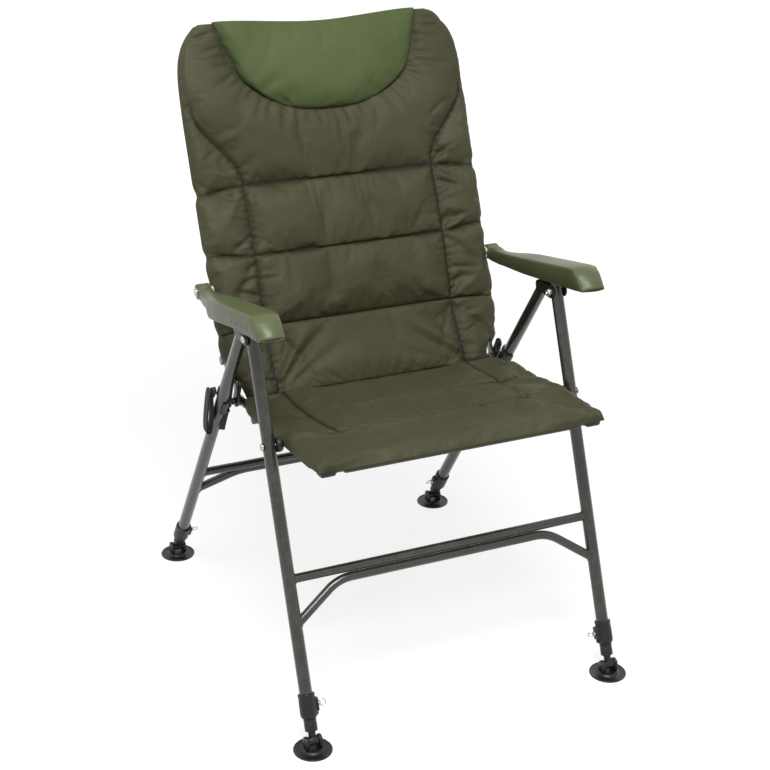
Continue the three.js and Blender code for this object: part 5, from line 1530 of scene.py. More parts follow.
@dataclass
class Cushion:
    """A sewn pad over a line of the side view: a top sheet, an underside and a rim.

    Places are given in the pad's own grid, columns across and rows along, before the pad's outline
    bends them.
    """

    name: str
    node: str
    body: str
    line: SideLine
    finish: ClothFinish
    rim_half: float = 3.0
    rim_bulge: float = 2.4
    hem_radius: float = 12.0
    pucker_pitch: float = 11.5
    pucker_decay: float = 13.0
    pucker_height: float = 2.9
    pressure: float = 4.0
    growth: float = 0.05
    cap: float = 8.0
    keep: float = 1.0
    firmness: float = 0.6
    fold_again: float = 0.5
    thinnest: float = 1.2
    sewn_half: float = 2.6
    # how far the painted shade in a seam's groove spreads
    seam_shade: float = 3.6
    seed: int = 5

    def columns(self) -> np.ndarray:
        """The places of the grid's columns."""
        raise NotImplementedError

    def rows(self) -> np.ndarray:
        """The places of the grid's rows."""
        raise NotImplementedError

    def flat(self, column: np.ndarray, row: np.ndarray) -> tuple:
        """Where places of the grid lie on the flat pad, across and along."""
        raise NotImplementedError

    def seams(self) -> list:
        """The pad's sewn lines."""
        return []

    def heights(self, column: np.ndarray, row: np.ndarray, x: np.ndarray, s: np.ndarray,
                away: np.ndarray) -> tuple:
        """Heights of the top and the underside off the pad's line."""
        raise NotImplementedError

    def folds(self) -> list:
        """The pad's larger folds."""
        return []

    def sampled(self, seam: Seam, step: float = 1.5) -> tuple:
        """Points along a seam on the flat pad, with their distance from its start."""
        corners_c = np.array(seam.columns, float)
        corners_r = np.array(seam.rows, float)
        lengths = run_along(corners_c, corners_r)
        where = np.linspace(0.0, lengths[-1], max(4, int(lengths[-1] / step)))
        x, s = np.interp(where, lengths, corners_c), np.interp(where, lengths, corners_r)
        if not seam.already_flat:
            x, s = self.flat(x, s)
        return x, s, run_along(x, s)

    def seam_field(self, x: np.ndarray, s: np.ndarray) -> tuple:
        """Distance to the nearest seam, place along it, its strength and its gathers, everywhere."""
        shape = x.shape
        best = np.full(x.size, 1e6)
        along, strength, gathers = np.zeros(x.size), np.ones(x.size), np.ones(x.size)
        flat_x, flat_s = x.reshape(-1), s.reshape(-1)
        for order, seam in enumerate(self.seams()):
            seam_x, seam_s, run = self.sampled(seam, 2.5)
            for start in range(0, len(seam_x) - 1):
                ax, az = seam_x[start], seam_s[start]
                bx, bz = seam_x[start + 1] - ax, seam_s[start + 1] - az
                share = ((flat_x - ax) * bx + (flat_s - az) * bz) / (bx * bx + bz * bz)
                share = share.clip(0.0, 1.0)
                apart = np.hypot(flat_x - ax - share * bx, flat_s - az - share * bz)
                nearer = apart < best
                best[nearer] = apart[nearer]
                along[nearer] = (run[start] + share * (run[start + 1] - run[start]))[nearer] + 137 * order
                strength[nearer] = seam.strength
                gathers[nearer] = seam.gathers
        return tuple(field.reshape(shape) for field in (best, along, strength, gathers))

    def ripple(self, x: np.ndarray, s: np.ndarray, size: float, height: float) -> np.ndarray:
        """A slow uneven swell of the filling."""
        chance = np.random.default_rng(self.seed)
        total = np.zeros_like(x)
        for _ in range(9):
            turn, phase = chance.uniform(0, math.pi), chance.uniform(0, 2 * math.pi)
            rate = 2 * math.pi / (size * chance.uniform(0.6, 1.5))
            total += np.sin(rate * (x * math.cos(turn) + s * math.sin(turn)) + phase)
        return total * height / 3.0

    def puckers(self, away: np.ndarray, along: np.ndarray, gathers: np.ndarray) -> np.ndarray:
        """Small gathers square to the seams, uneven in pitch and depth."""
        drift = 1.7 * np.sin(along / 23.0) + 1.1 * np.sin(along / 7.7 + 2.0) + 2.3 * np.sin(along / 61.0)
        wave = np.sin(2 * math.pi * along / self.pucker_pitch + drift)
        uneven = 0.6 + 0.4 * np.sin(along / 17.0 + 1.3 * np.sin(along / 41.0))
        fade = np.exp(-away / self.pucker_decay) * (1.0 - np.exp(-away / 2.2))
        return self.pucker_height * wave * uneven * fade * gathers

    def build(self) -> bpy.types.Object:
        """Builds the pad with its stitches."""
        column, row = np.meshgrid(self.columns(), self.rows())
        x, s = self.flat(column, row)
        away, along, strength, gathers = self.seam_field(x, s)
        top, under = self.heights(column, row, x, s, away)
        edge = np.zeros(x.shape)
        edge[0, :] = edge[-1, :] = edge[:, 0] = edge[:, -1] = 1.0
        inward = 1.0 - edge
        calm = self.calm(x, s)
        folded = sum(fold.over(x, s) for fold in self.folds()) * inward * calm
        gathered = self.puckers(away, along, gathers) * inward * calm
        top = np.maximum(top + folded + gathered, under + self.thinnest)
        points = self.line.sheet(x, s, top)
        sewn_in = np.where(away < self.sewn_half, strength, 0.0)
        points = settle(points, np.maximum(edge, sewn_in), self.pressure, self.growth, self.cap)
        points = points + self.fold_again * folded[..., None] * self.line.normal
        # the last argument is the painted shade of the seam grooves
        made = self.close(points, x, s, under, np.exp(-(away / self.seam_shade) ** 2) * strength)
        self.stitches(made)
        return made

    def calm(self, x: np.ndarray, s: np.ndarray) -> np.ndarray:
        """Where folds and gathers fade out, 1 where they are full."""
        return np.ones_like(x)

    def close(self, top: np.ndarray, x: np.ndarray, s: np.ndarray, under: np.ndarray,
              sewn: np.ndarray) -> bpy.types.Object:
        """Joins the top sheet with the underside round a rounded rim, smooths the whole, and hands the
        painted seam shade to the material.
        """
        count = x.size
        index = np.arange(count).reshape(x.shape)
        low = self.line.sheet(x, s, under)
        loop = np.concatenate((index[0, :-1], index[:-1, -1], index[-1, :0:-1], index[:0:-1, 0]))
        high_rim, low_rim = top.reshape(-1, 3)[loop], low.reshape(-1, 3)[loop]
        middle = (high_rim + low_rim) / 2
        ahead = np.roll(middle, -1, axis=0) - np.roll(middle, 1, axis=0)
        outward = units(np.cross(ahead, self.line.normal))
        if np.sum((middle - middle.mean(axis=0)) * outward) < 0:
            outward = -outward
        quads = grid_quads(index)
        faces = quads.tolist() + (quads[:, ::-1] + count).tolist()
        around, ring = len(loop), 2 * count + np.arange(len(loop))
        for k in range(around):
            follow = (k + 1) % around
            faces.append((int(loop[follow]), int(loop[k]), int(ring[k]), int(ring[follow])))
            faces.append((int(ring[follow]), int(ring[k]), int(loop[k]) + count, int(loop[follow]) + count))
        bulged = middle + outward * self.rim_bulge
        shell = Shell(np.concatenate((top.reshape(-1, 3), low.reshape(-1, 3), bulged)), faces)
        made = make_object(self.name, shell, self.finish, 180.0)
        mesh = made.data
        # the attribute sewn carries the painted shade of the seams
        mark = mesh.attributes.new("sewn", "FLOAT", "POINT")
        mark.data.foreach_set("value", np.concatenate((sewn.reshape(-1), np.zeros(count + around))))
        flat = np.stack((x.reshape(-1), s.reshape(-1)), axis=1) * METRES
        flat = np.concatenate((flat, flat, flat[loop]))
        corner = np.empty(len(mesh.loops), int)
        mesh.loops.foreach_get("vertex_index", corner)
        mesh.uv_layers.new(name="flat").data.foreach_set("uv", flat[corner].reshape(-1))
        finer = made.modifiers.new("finer", "SUBSURF")
        finer.levels = finer.render_levels = 1
        apply_modifiers(made)
        self.attach(made, self.node)
        return made

    def attach(self, made: bpy.types.Object, *nodes: str) -> None:
        """Hands a piece to the pad's body, and gives a thick one a mesh of its own."""
        fit(made, self.finish, self.body, *nodes)
        if self.keep < 1.0:
            anchor = tuple(self.line.at(0.0, -self.hem_radius) * METRES)
            tuple(self.line.normal)
            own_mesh(made)

    def stitches(self, pad: bpy.types.Object) -> None:
        """Lays sewing thread along the seams, on the finished surface."""
        points = np.empty(len(pad.data.vertices) * 3)
        pad.data.vertices.foreach_get("co", points)
        faces = [tuple(face.vertices) for face in pad.data.polygons]
        surface = BVHTree.FromPolygons(points.reshape(-1, 3).tolist(), faces)
        pitch, long, thick, high = 4.6, 3.3, 0.34, 80.0
        down = Vector(-self.line.normal)
        shells = []
        for seam in self.seams():
            if not seam.stitched:
                continue
            x, s, run = self.sampled(seam)
            for start in np.arange(2.0, run[-1] - pitch, pitch):
                ends = []
                for at in (start, start + long / 2, start + long):
                    place = self.line.at(float(np.interp(at, run, s)), high, float(np.interp(at, run, x)))
                    hit = surface.ray_cast(Vector(place * METRES), down)[0]
                    if hit is not None:
                        ends.append(np.array(hit) / METRES + self.line.normal * 0.12)
                if len(ends) == 3:
                    shells.append(self.thread(np.array(ends), thick))
        if shells:
            self.attach(make_object(f"{self.name}_stitching", together(*shells), THREAD))

    def thread(self, places: np.ndarray, thick: float) -> Shell:
        """One stitch: a short thread that dips into the cloth at both ends."""
        first, middle, last = places
        dip = self.line.normal * 0.45
        path = np.array((first - dip, first * 0.75 + middle * 0.25, middle + self.line.normal * 0.1,
                         last * 0.75 + middle * 0.25, last - dip))
        way = unit(last - first)
        across = unit(np.cross(way, self.line.normal))
        circle = spokes(6, across, np.cross(across, way))
        shares = (0.6, 1.0, 1.1, 1.0, 0.6)
        return skin([place + circle * thick * share for share, place in zip(shares, path)])


def places_between(marks: Sequence[float], step: float) -> list:
    """Even places between marks, each mark kept."""
    made = []
    for low, high in zip(marks, marks[1:]):
        made += list(np.linspace(low, high, max(2, round((high - low) / step) + 1))[:-1])
    return made + [marks[-1]]


def round_edge(edge: float, inner: float, steps: int = 6) -> list:
    """Places that crowd towards an edge, for a rounded rim, from inner to edge."""
    turns = np.linspace(0.0, math.pi / 2, steps + 1)
    return list(inner + (edge - inner) * np.sin(turns))


@dataclass(frozen=True)
class HeadrestOutline:
    """The outline of the headrest on the back: a deep rounded lower edge and two horns."""

    top_half: float = 199.0
    low_half: float = 148.0
    bottom: float = 503.4
    side_rise: float = 52.0
    top: float = 662.0
    horn: float = 11.0

    def half(self, row: np.ndarray) -> np.ndarray:
        """Half the width at a share of the height."""
        return self.low_half + (self.top_half - self.low_half) * np.clip(row, 0.0, 1.0) ** 0.6

    def low(self, out: np.ndarray) -> np.ndarray:
        """The lower edge at a share of the half width."""
        return self.bottom + self.side_rise * out ** 2.6

    def high(self, out: np.ndarray) -> np.ndarray:
        """The upper edge at a share of the half width."""
        return self.top + self.horn * smooth(out)

    def flat(self, column: np.ndarray, row: np.ndarray) -> tuple:
        """The place across and along for shares of the half width and of the height."""
        out = np.abs(column)
        low = self.low(out)
        return column * self.half(row), low + (self.high(out) - low) * row

    def edge(self) -> tuple:
        """Places down the left side, round the lower edge and up the right side."""
        down = np.linspace(0.97, 0.0, 24)
        across = np.linspace(-1.0, 1.0, 61)[1:-1]
        column = np.concatenate((np.full(24, -1.0), across, np.full(24, 1.0)))
        row = np.concatenate((down, np.zeros(59), down[::-1]))
        x, s = self.flat(column, row)
        return tuple(x), tuple(s)

    def inside(self, x: np.ndarray, s: np.ndarray) -> np.ndarray:
        """Which places lie under the headrest."""
        out = np.clip(np.abs(x) / self.top_half, 0.0, 1.0)
        row = (s - self.bottom) / (self.top - self.bottom)
        return (np.abs(x) < self.half(row)) & (s > self.low(np.abs(x) / self.low_half)) & (out < 1.0)


HEADREST = HeadrestOutline()


@dataclass
class SeamedPad(Cushion):
    """A pad with a long seam down each side of its middle and seams across."""

    half: float = 270.0
    seam_x: float = 186.0
    step: float = 5.0
    side_rim: float = 15.0

    def columns(self) -> np.ndarray:
        """Even places between the seams, which crowd towards the pad's sides."""
        inner = self.half - self.side_rim
        side = places_between((self.seam_x, inner), self.step)[:-1] + round_edge(self.half, inner, 5)
        middle = places_between((-self.seam_x, 0.0, self.seam_x), self.step)
        return np.array([-place for place in side[:0:-1]] + middle + side[1:])

    def spread_out(self, column: np.ndarray, seam: np.ndarray, half: np.ndarray) -> np.ndarray:
        """Columns moved so that the long seams lie at seam and the sides at half."""
        size = np.abs(column)
        outer = seam + (size - self.seam_x) * (half - seam) / (self.half - self.seam_x)
        return np.sign(column) * np.where(size <= self.seam_x, size * seam / self.seam_x, outer)

    def beside(self, column: np.ndarray) -> np.ndarray:
        """0 between the long seams, rising to 1 at the pad's sides."""
        return smooth((np.abs(column) - self.seam_x) / (self.half - self.seam_x))

    def from_side(self, row: np.ndarray, x: np.ndarray) -> np.ndarray:
        """How far places are from the nearer side."""
        return np.abs(self.flat(np.full_like(row, self.half), row)[0]) - np.abs(x)

    def drawn_in(self, column: np.ndarray, row: np.ndarray, reach: float) -> np.ndarray:
        """The small zigzag that the gathers draw a long seam into, as a shift across."""
        zigzag = np.sin(2 * math.pi * row / 12.5 + 1.6 * np.sin(row / 31.0))
        uneven = 0.6 + 0.4 * np.sin(row / 19.0)
        near = np.exp(-np.abs(np.abs(column) - self.seam_x) / 9.0)
        return np.sign(column) * reach * zigzag * uneven * near


@dataclass
class BackPad(SeamedPad):
    """The back's pad: four bands between two long seams that swing out to the shoulders."""

    half: float = 274.6
    seam_x: float = 188.0
    side_rim: float = 14.0
    low_half: float = 242.0
    widens: float = 90.0
    start: float = 2.4
    cross_rows: tuple = (122.5, 251.0, 378.0)
    headrest_row: float = 500.0
    top_row: float = 661.0
    horn: float = 11.0
    horn_x: float = 200.0
    corner_in: float = 42.0
    corner_drop: float = 5.0
    shoulder: tuple = (384.0, 522.0)
    shoulder_x: float = 266.0
    lip: float = 34.8
    lip_reach: float = 112.0
    base: float = 5.5
    row_step: float = 3.7
    bulge: float = 4.0
    crowns: tuple = (14.0, 17.0, 17.0, 14.0)
    side_crown: float = 12.0
    headrest_crown: float = 1.5
    arm_bolt: float = 202.0
    band_lean: tuple = (0.0, -2.5, 4.5, -2.5, 2.0)
    from_row: float = 122.5
    to_row: float = 700.0
    tube_x: float = 264.0
    tube_top: float = 646.0
    tube_bend: float = 75.0
    zigzag: float = 2.2
    drawn_folds: tuple = (
        (186, 8, 40, 122, -4.4, 10.0), (188, 20, 84, 124, 3.4, 9.0), (184, 30, 128, 120, -3.2, 8.0),
        (176, 6, 20, 74, -3.0, 10.0), (184, 120, 120, 20, -2.4, 8.0), (188, 116, 246, 34, -4.0, 8.0),
        (190, 96, 262, 74, 2.6, 7.0), (192, 244, 262, 150, -3.4, 8.0), (190, 372, 264, 290, 2.6, 8.0),
        (186, 372, 262, 340, -3.2, 7.0),
    )

    def rows(self) -> np.ndarray:
        """The places of the grid's rows."""
        upper = self.top_row - self.side_rim
        marks = (self.start, *self.cross_rows, self.headrest_row, upper)
        rows = np.array(places_between(marks, self.row_step)[:-1] + round_edge(self.top_row, upper, 5))
        return rows[(rows > self.from_row - 0.1) & (rows < self.to_row + 0.1)]

    def flat(self, column: np.ndarray, row: np.ndarray) -> tuple:
        """Where places of the grid lie on the flat pad."""
        above = np.clip((row - self.headrest_row) / (self.top_row - self.headrest_row), 0.0, 1.0)
        out = np.abs(column) / self.half
        horn = self.horn * smooth(out * self.half / self.horn_x)
        corner = self.corner_drop * smooth(2 * out - 1) * above
        s = row + (horn - corner) * above
        half = self.low_half + (self.half - self.low_half) * smooth((s - self.start) / self.widens)
        half = half - self.corner_in * above ** 4.5
        notches = sum(np.exp(-((row - seam) / 11.0) ** 2) for seam in self.cross_rows)
        bolt = np.exp(-((row - self.arm_bolt) / 24.0) ** 2)
        puffed = smooth((row - 70.0) / 60.0) * (1.0 - above) * (1.0 - bolt)
        half = half + self.bulge * puffed * (1.0 - 1.35 * notches)
        swing = smooth((s - self.shoulder[0]) / (self.shoulder[1] - self.shoulder[0]))
        seam = self.seam_x + (np.minimum(self.shoulder_x, half - 9.0) - self.seam_x) * swing
        x = self.spread_out(column, seam, half)
        marks = (self.start, *self.cross_rows, self.headrest_row, self.top_row)
        shift = np.interp(row, marks, (0.0, -4.5, 9.0, -8.0, 0.0, 0.0))
        s = s + shift * self.beside(column)
        below = 1.0 - smooth((row - 440.0) / 60.0)
        return x + self.drawn_in(column, row, self.zigzag) * below, s

    def seams(self) -> list:
        """The pad's sewn lines."""
        ends = (max(self.start, self.from_row), min(self.to_row, self.headrest_row + 22.0))
        long = [Seam((side.value * self.seam_x,) * 2, ends) for side in Side]
        if self.to_row < self.headrest_row:
            return long
        across = [Seam((-self.seam_x, self.seam_x), (row, row), 0.9, gathers=0.3)
                  for row in self.cross_rows]
        outer = [Seam((side.value * self.seam_x, side.value * (self.half - 4.0)), (row, row), 0.9)
                 for side in Side for row in self.cross_rows]
        # the headrest's edge is a seam too: no stitches, but painted shade on the back pad along it
        pillow = Seam(*HEADREST.edge(), strength=0.7, stitched=False, already_flat=True, gathers=0.5)
        return long + across + outer + [pillow]

    def tube_away(self, x: np.ndarray, s: np.ndarray) -> np.ndarray:
        """How far a place is from the centre line of the bent tube in the hem."""
        bend_x, bend_s = self.tube_x - self.tube_bend, self.tube_top - self.tube_bend
        out = np.abs(x)
        away = np.abs(np.hypot(out - bend_x, s - bend_s) - self.tube_bend)
        away = np.where(out < bend_x, np.abs(s - self.tube_top), away)
        return np.where(s < bend_s, np.abs(out - self.tube_x), away)

    def heights(self, column: np.ndarray, row: np.ndarray, x: np.ndarray, s: np.ndarray,
                away: np.ndarray) -> tuple:
        """Heights of the top and the underside off the back's plane."""
        side_panel = np.abs(column) > self.seam_x
        low, mid, high = self.cross_rows
        crown = np.select([row < low, row < mid, row < high], self.crowns[:3], self.crowns[3])
        crown = np.where(side_panel, self.side_crown, crown)
        crown = np.where(HEADREST.inside(x, s), self.headrest_crown, crown)
        depth = np.where(side_panel, 40.0, 50.0)
        edge = self.from_side(row, x)
        top_edge = (self.top_row - row).clip(0)
        full = self.base + crown * rounded_fill(away, depth)
        lean = np.interp(row, (self.start, *self.cross_rows, self.headrest_row), self.band_lean)
        full = full + self.ripple(x, s, 70.0, 0.6) + lean * rounded_fill(edge, 40.0)
        fill = rounded_fill(edge, 20.0) * rounded_fill(top_edge, 16.0)
        hem = np.sqrt(np.maximum(self.hem_radius ** 2 - self.tube_away(x, s) ** 2, 0.0))
        plain = np.maximum(self.rim_half + (full - self.rim_half) * fill, hem)
        near = 1.0 - smooth((row - self.start) / self.lip_reach)
        seam_dip = 1.0 - 0.3 * np.exp(-(away / 9.0) ** 2)
        lip = self.lip * (0.2 + 0.8 * rounded_fill(edge, 44.0)) * seam_dip
        roll = rounded_fill(row - self.start + 3.0, 26.0)
        top = plain + (np.maximum(lip, plain) - plain) * near * (0.86 + 0.14 * roll)
        under = -np.maximum(self.rim_half + 4.0 * fill, hem)
        shut = 1.0 - smooth((row - self.start) / 14.0)
        under = under * (1.0 - shut) + shut * np.minimum(top - 2.0, 30.0)
        return top, under

    def folds(self) -> list:
        """The pad's larger folds: from the side seams and towards the lower corners."""
        made = []
        chance = np.random.default_rng(self.seed + 1)
        for side in Side:
            sign = side.value
            for row in self.cross_rows:
                for _ in range(9):
                    turn = chance.uniform(-1.25, 1.25)
                    outward = chance.random() < 0.7
                    long = chance.uniform(40.0, 85.0) if outward else chance.uniform(30.0, 110.0)
                    reach = long * math.cos(turn) * (1 if outward else -1)
                    made.append(Fold(sign * self.seam_x, row, sign * (self.seam_x + reach),
                                     row + long * math.sin(turn),
                                     chance.uniform(-5.0, 3.2) * (1.0 if outward else 0.4),
                                     chance.uniform(3.6, 6.5)))
            for row in np.arange(30.0, 480.0, 26.0):
                start = row + chance.uniform(-9.0, 9.0)
                made.append(Fold(sign * self.seam_x, start, sign * chance.uniform(235.0, 262.0),
                                 start + chance.uniform(-34.0, 34.0), chance.uniform(-4.2, 2.4),
                                 chance.uniform(3.6, 6.5)))
            made += placed_folds(self.drawn_folds, sign)
        return made + self.pleats(chance)

    def pleats(self, chance: np.random.Generator) -> list:
        """The pleats that run out from the headrest's edge."""
        x, s = (np.array(places) for places in HEADREST.edge())
        run = run_along(x, s)
        made = []
        start = 12.0
        while start < run[-1] - 12.0:
            here = np.array([np.interp(start, run, x), np.interp(start, run, s)])
            ahead = np.array([np.interp(start + 3, run, x), np.interp(start + 3, run, s)]) - here
            out = np.array((ahead[1], -ahead[0])) / np.linalg.norm(ahead)
            out = out if out @ (here - np.array((0.0, 640.0))) > 0 else -out
            end = here + out * chance.uniform(26.0, 62.0) + ahead * chance.uniform(-3.0, 3.0)
            made.append(Fold(*here, *end, chance.uniform(-4.6, -2.0), chance.uniform(3.2, 5.2)))
            start += chance.uniform(11.0, 20.0)
        return made

    def calm(self, x: np.ndarray, s: np.ndarray) -> np.ndarray:
        """Folds fade out under the headrest and over the tube."""
        open_part = np.where(HEADREST.inside(x, s), 0.0, 1.0)
        return open_part * (0.25 + 0.75 * smooth((self.tube_away(x, s) - 3.0) / 13.0))


@dataclass
class SeatPad(SeamedPad):
    """The seat's pad: cross channels between two long seams and a roll over the front tube."""

    half: float = 265.0
    rear_half: float = 249.0
    widens: float = 84.0
    seam_x: float = 184.0
    side_rim: float = 16.0
    start: float = 7.0
    crease: float = 31.0
    end: float = 392.0
    front_roll: float = 26.0
    rear_high: float = 5.5
    cross_rows: tuple = (158.0, 274.0)
    row_step: float = 3.8
    rail_x: float = 246.0
    front_tube: float = 377.0
    corner_reach: float = 26.0
    corner_in: float = 1.0
    corner_back: float = 1.0
    corner_radius: float = 13.6
    zigzag: float = 0.6
    drawn_folds: tuple = ((186, 36, 250, 60, -2.6, 6.0), (186, 40, 244, 100, -2.0, 7.0),
                          (186, 156, 256, 200, -2.0, 8.0), (200, 300, 248, 366, -1.6, 9.0))
    front_folds: tuple = ((30, 300, 42, 384, -1.4, 5.0), (-70, 330, -150, 352, -1.0, 8.0))

    def rows(self) -> np.ndarray:
        """The places of the grid's rows."""
        inner = self.end - self.front_roll
        marks = (self.start, self.crease, *self.cross_rows, inner)
        return np.array(places_between(marks, self.row_step)[:-1] + round_edge(self.end, inner, 8))

    def flat(self, column: np.ndarray, row: np.ndarray) -> tuple:
        """Where places of the grid lie on the flat pad."""
        half = self.rear_half + (self.half - self.rear_half) * smooth(row / self.widens)
        half = half - self.corner_in * smooth((row - 344.0) / 52.0) ** 2
        seam = np.interp(row, (self.crease, *self.cross_rows, self.end), (184.0, 187.0, 182.0, 178.0))
        x = self.spread_out(column, seam, half)
        shift = np.interp(row, (self.start, *self.cross_rows, self.end), (0.0, -7.0, -4.0, 0.0))
        s = row + shift * self.beside(column)
        near_front = smooth((row - 300.0) / 92.0)
        s = s - self.corner_back * smooth((np.abs(column) - 200.0) / 60.0) ** 2 * near_front
        return x + self.drawn_in(column, row, self.zigzag) * (1.0 - near_front), s

    def seams(self) -> list:
        """The pad's sewn lines."""
        first, second = self.cross_rows
        long = [Seam((side.value * self.seam_x,) * 2, (self.crease - 6.0, second), gathers=0.35)
                for side in Side]
        across = [Seam((-self.seam_x, self.seam_x), (row, row), strength, gathers=0.12)
                  for row, strength in ((first, 0.7), (second, 0.5))]
        outer = [Seam((side.value * self.seam_x, side.value * (self.half - reach)), (row, row),
                      strength, gathers=0.4)
                 for side in Side for row, strength, reach in ((first, 0.8, 42.0), (second, 0.3, 60.0))]
        return long + across + outer

    def heights(self, column: np.ndarray, row: np.ndarray, x: np.ndarray, s: np.ndarray,
                away: np.ndarray) -> tuple:
        """Heights of the top and the underside off the seat's plane."""
        first, second = self.cross_rows
        front = smooth((row - first) / (second - first))
        side_panel = (np.abs(column) > self.seam_x) & (row < second)
        crown = np.where(side_panel, 8.0, np.where(row > second, 7.0, 12.0))
        depth = np.where(side_panel, 38.0, np.where(row > second, 40.0, 46.0))
        edge = self.from_side(row, x)
        base = 9.0 + 8.0 * front
        full = base + crown * rounded_fill(away, depth) + self.ripple(x, s, 80.0, 0.5)
        rear = smooth((row - self.crease) / 60.0)
        middle = 1.0 - smooth((np.abs(x) - 150.0) / 60.0)
        rise = np.interp(row, (self.start, self.crease), (0.0, 1.0))
        crease = rise * (13.0 + middle * 4.0 - self.rear_high) + self.rear_high
        full = full * rear + (1 - rear) * crease
        fill = rounded_fill(edge, 18.0) * rounded_fill(self.end - row, self.front_roll)
        rail_away = np.abs(np.abs(x) - self.rail_x)
        front_away = np.abs(row - self.front_tube)
        corner = np.maximum(rail_away, front_away) < self.corner_reach
        tube_away = np.minimum(rail_away, front_away)
        radius = np.where(corner, self.corner_radius, self.hem_radius)
        hem = np.sqrt(np.maximum(radius ** 2 - tube_away ** 2, 0.0)) * smooth(row / 40.0)
        top = np.maximum(self.rim_half + (full - self.rim_half) * fill, hem)
        hem = np.where(corner, 0.0, hem)
        low = np.where(corner, 1.0 + 2.0 * fill, self.rim_half + 6.0 * fill)
        return top, -np.maximum(low, hem)

    def folds(self) -> list:
        """The pad's larger folds."""
        made = []
        chance = np.random.default_rng(self.seed + 1)
        for side in Side:
            sign = side.value
            for row in (self.crease, *self.cross_rows):
                for _ in range(5):
                    turn = chance.uniform(-1.0, 1.0)
                    long = chance.uniform(30.0, 80.0)
                    inward = -1 if chance.random() < 0.5 else 1
                    made.append(Fold(sign * self.seam_x, row,
                                     sign * (self.seam_x + inward * long * math.cos(turn)),
                                     row + long * math.sin(turn) * 0.8,
                                     chance.uniform(-1.6, 0.9), chance.uniform(4.0, 7.5)))
            made += placed_folds(self.drawn_folds, sign)
        return made + placed_folds(self.front_folds, 1)

    def calm(self, x: np.ndarray, s: np.ndarray) -> np.ndarray:
        """Folds fade out over the rails, towards the front roll and into the crease."""
        rail = smooth((np.abs(np.abs(x) - self.rail_x) - 3.0) / 14.0)
        return rail * smooth((self.end - s) / 34.0) * smooth((s - self.crease + 8.0) / 20.0)


@dataclass
class Headrest(Cushion):
    """The green pillow over the top of the back, with a deep rounded lower edge."""

    inset: float = 2.0
    rim: float = 8.0
    thick: float = 27.0
    rim_depth: float = 27.0

    def columns(self) -> np.ndarray:
        """The places of the grid's columns, as shares of its half width."""
        middle = places_between((-0.88, 0.0, 0.88), 0.028)
        edge = round_edge(1.0, 0.88, 6)[1:]
        return np.array([-place for place in edge[::-1]] + middle + edge)

    def rows(self) -> np.ndarray:
        """The places of the grid's rows, as shares of its height."""
        low = [0.16 - 0.16 * math.sin(turn) for turn in np.linspace(math.pi / 2, 0, 8)]
        return np.array(low[:-1] + places_between((0.16, 0.86), 0.034)[:-1] + round_edge(1.0, 0.86, 6))

    def flat(self, column: np.ndarray, row: np.ndarray) -> tuple:
        """Where places of the grid lie on the flat pad."""
        return HEADREST.flat(column, row)

    def heights(self, column: np.ndarray, row: np.ndarray, x: np.ndarray, s: np.ndarray,
                away: np.ndarray) -> tuple:
        """Heights of the top and the underside off the back's plane."""
        out = np.abs(column)
        sides = rounded_fill(HEADREST.half(row) - np.abs(x), self.rim_depth)
        fill = sides * rounded_fill(s - HEADREST.low(out), self.rim_depth)
        fill = fill * (0.3 + 0.7 * rounded_fill(HEADREST.high(out) - s, self.rim_depth))
        swell = 2.5 * (1 - out ** 2) * (1 - (2 * row - 1) ** 2)
        top = self.rim + (self.thick - self.rim) * fill + swell + self.ripple(x, s, 90.0, 0.5) * fill
        return top, np.full_like(top, self.inset)

    def folds(self) -> list:
        """Soft pulls from the lower corners and along the top."""
        pulls = ((132, 548, 70, 560, -1.2, 7.0), (150, 560, 96, 610, -1.0, 8.0),
                 (176, 650, 110, 628, -1.0, 8.0))
        return [fold for side in Side for fold in placed_folds(pulls, side.value)]


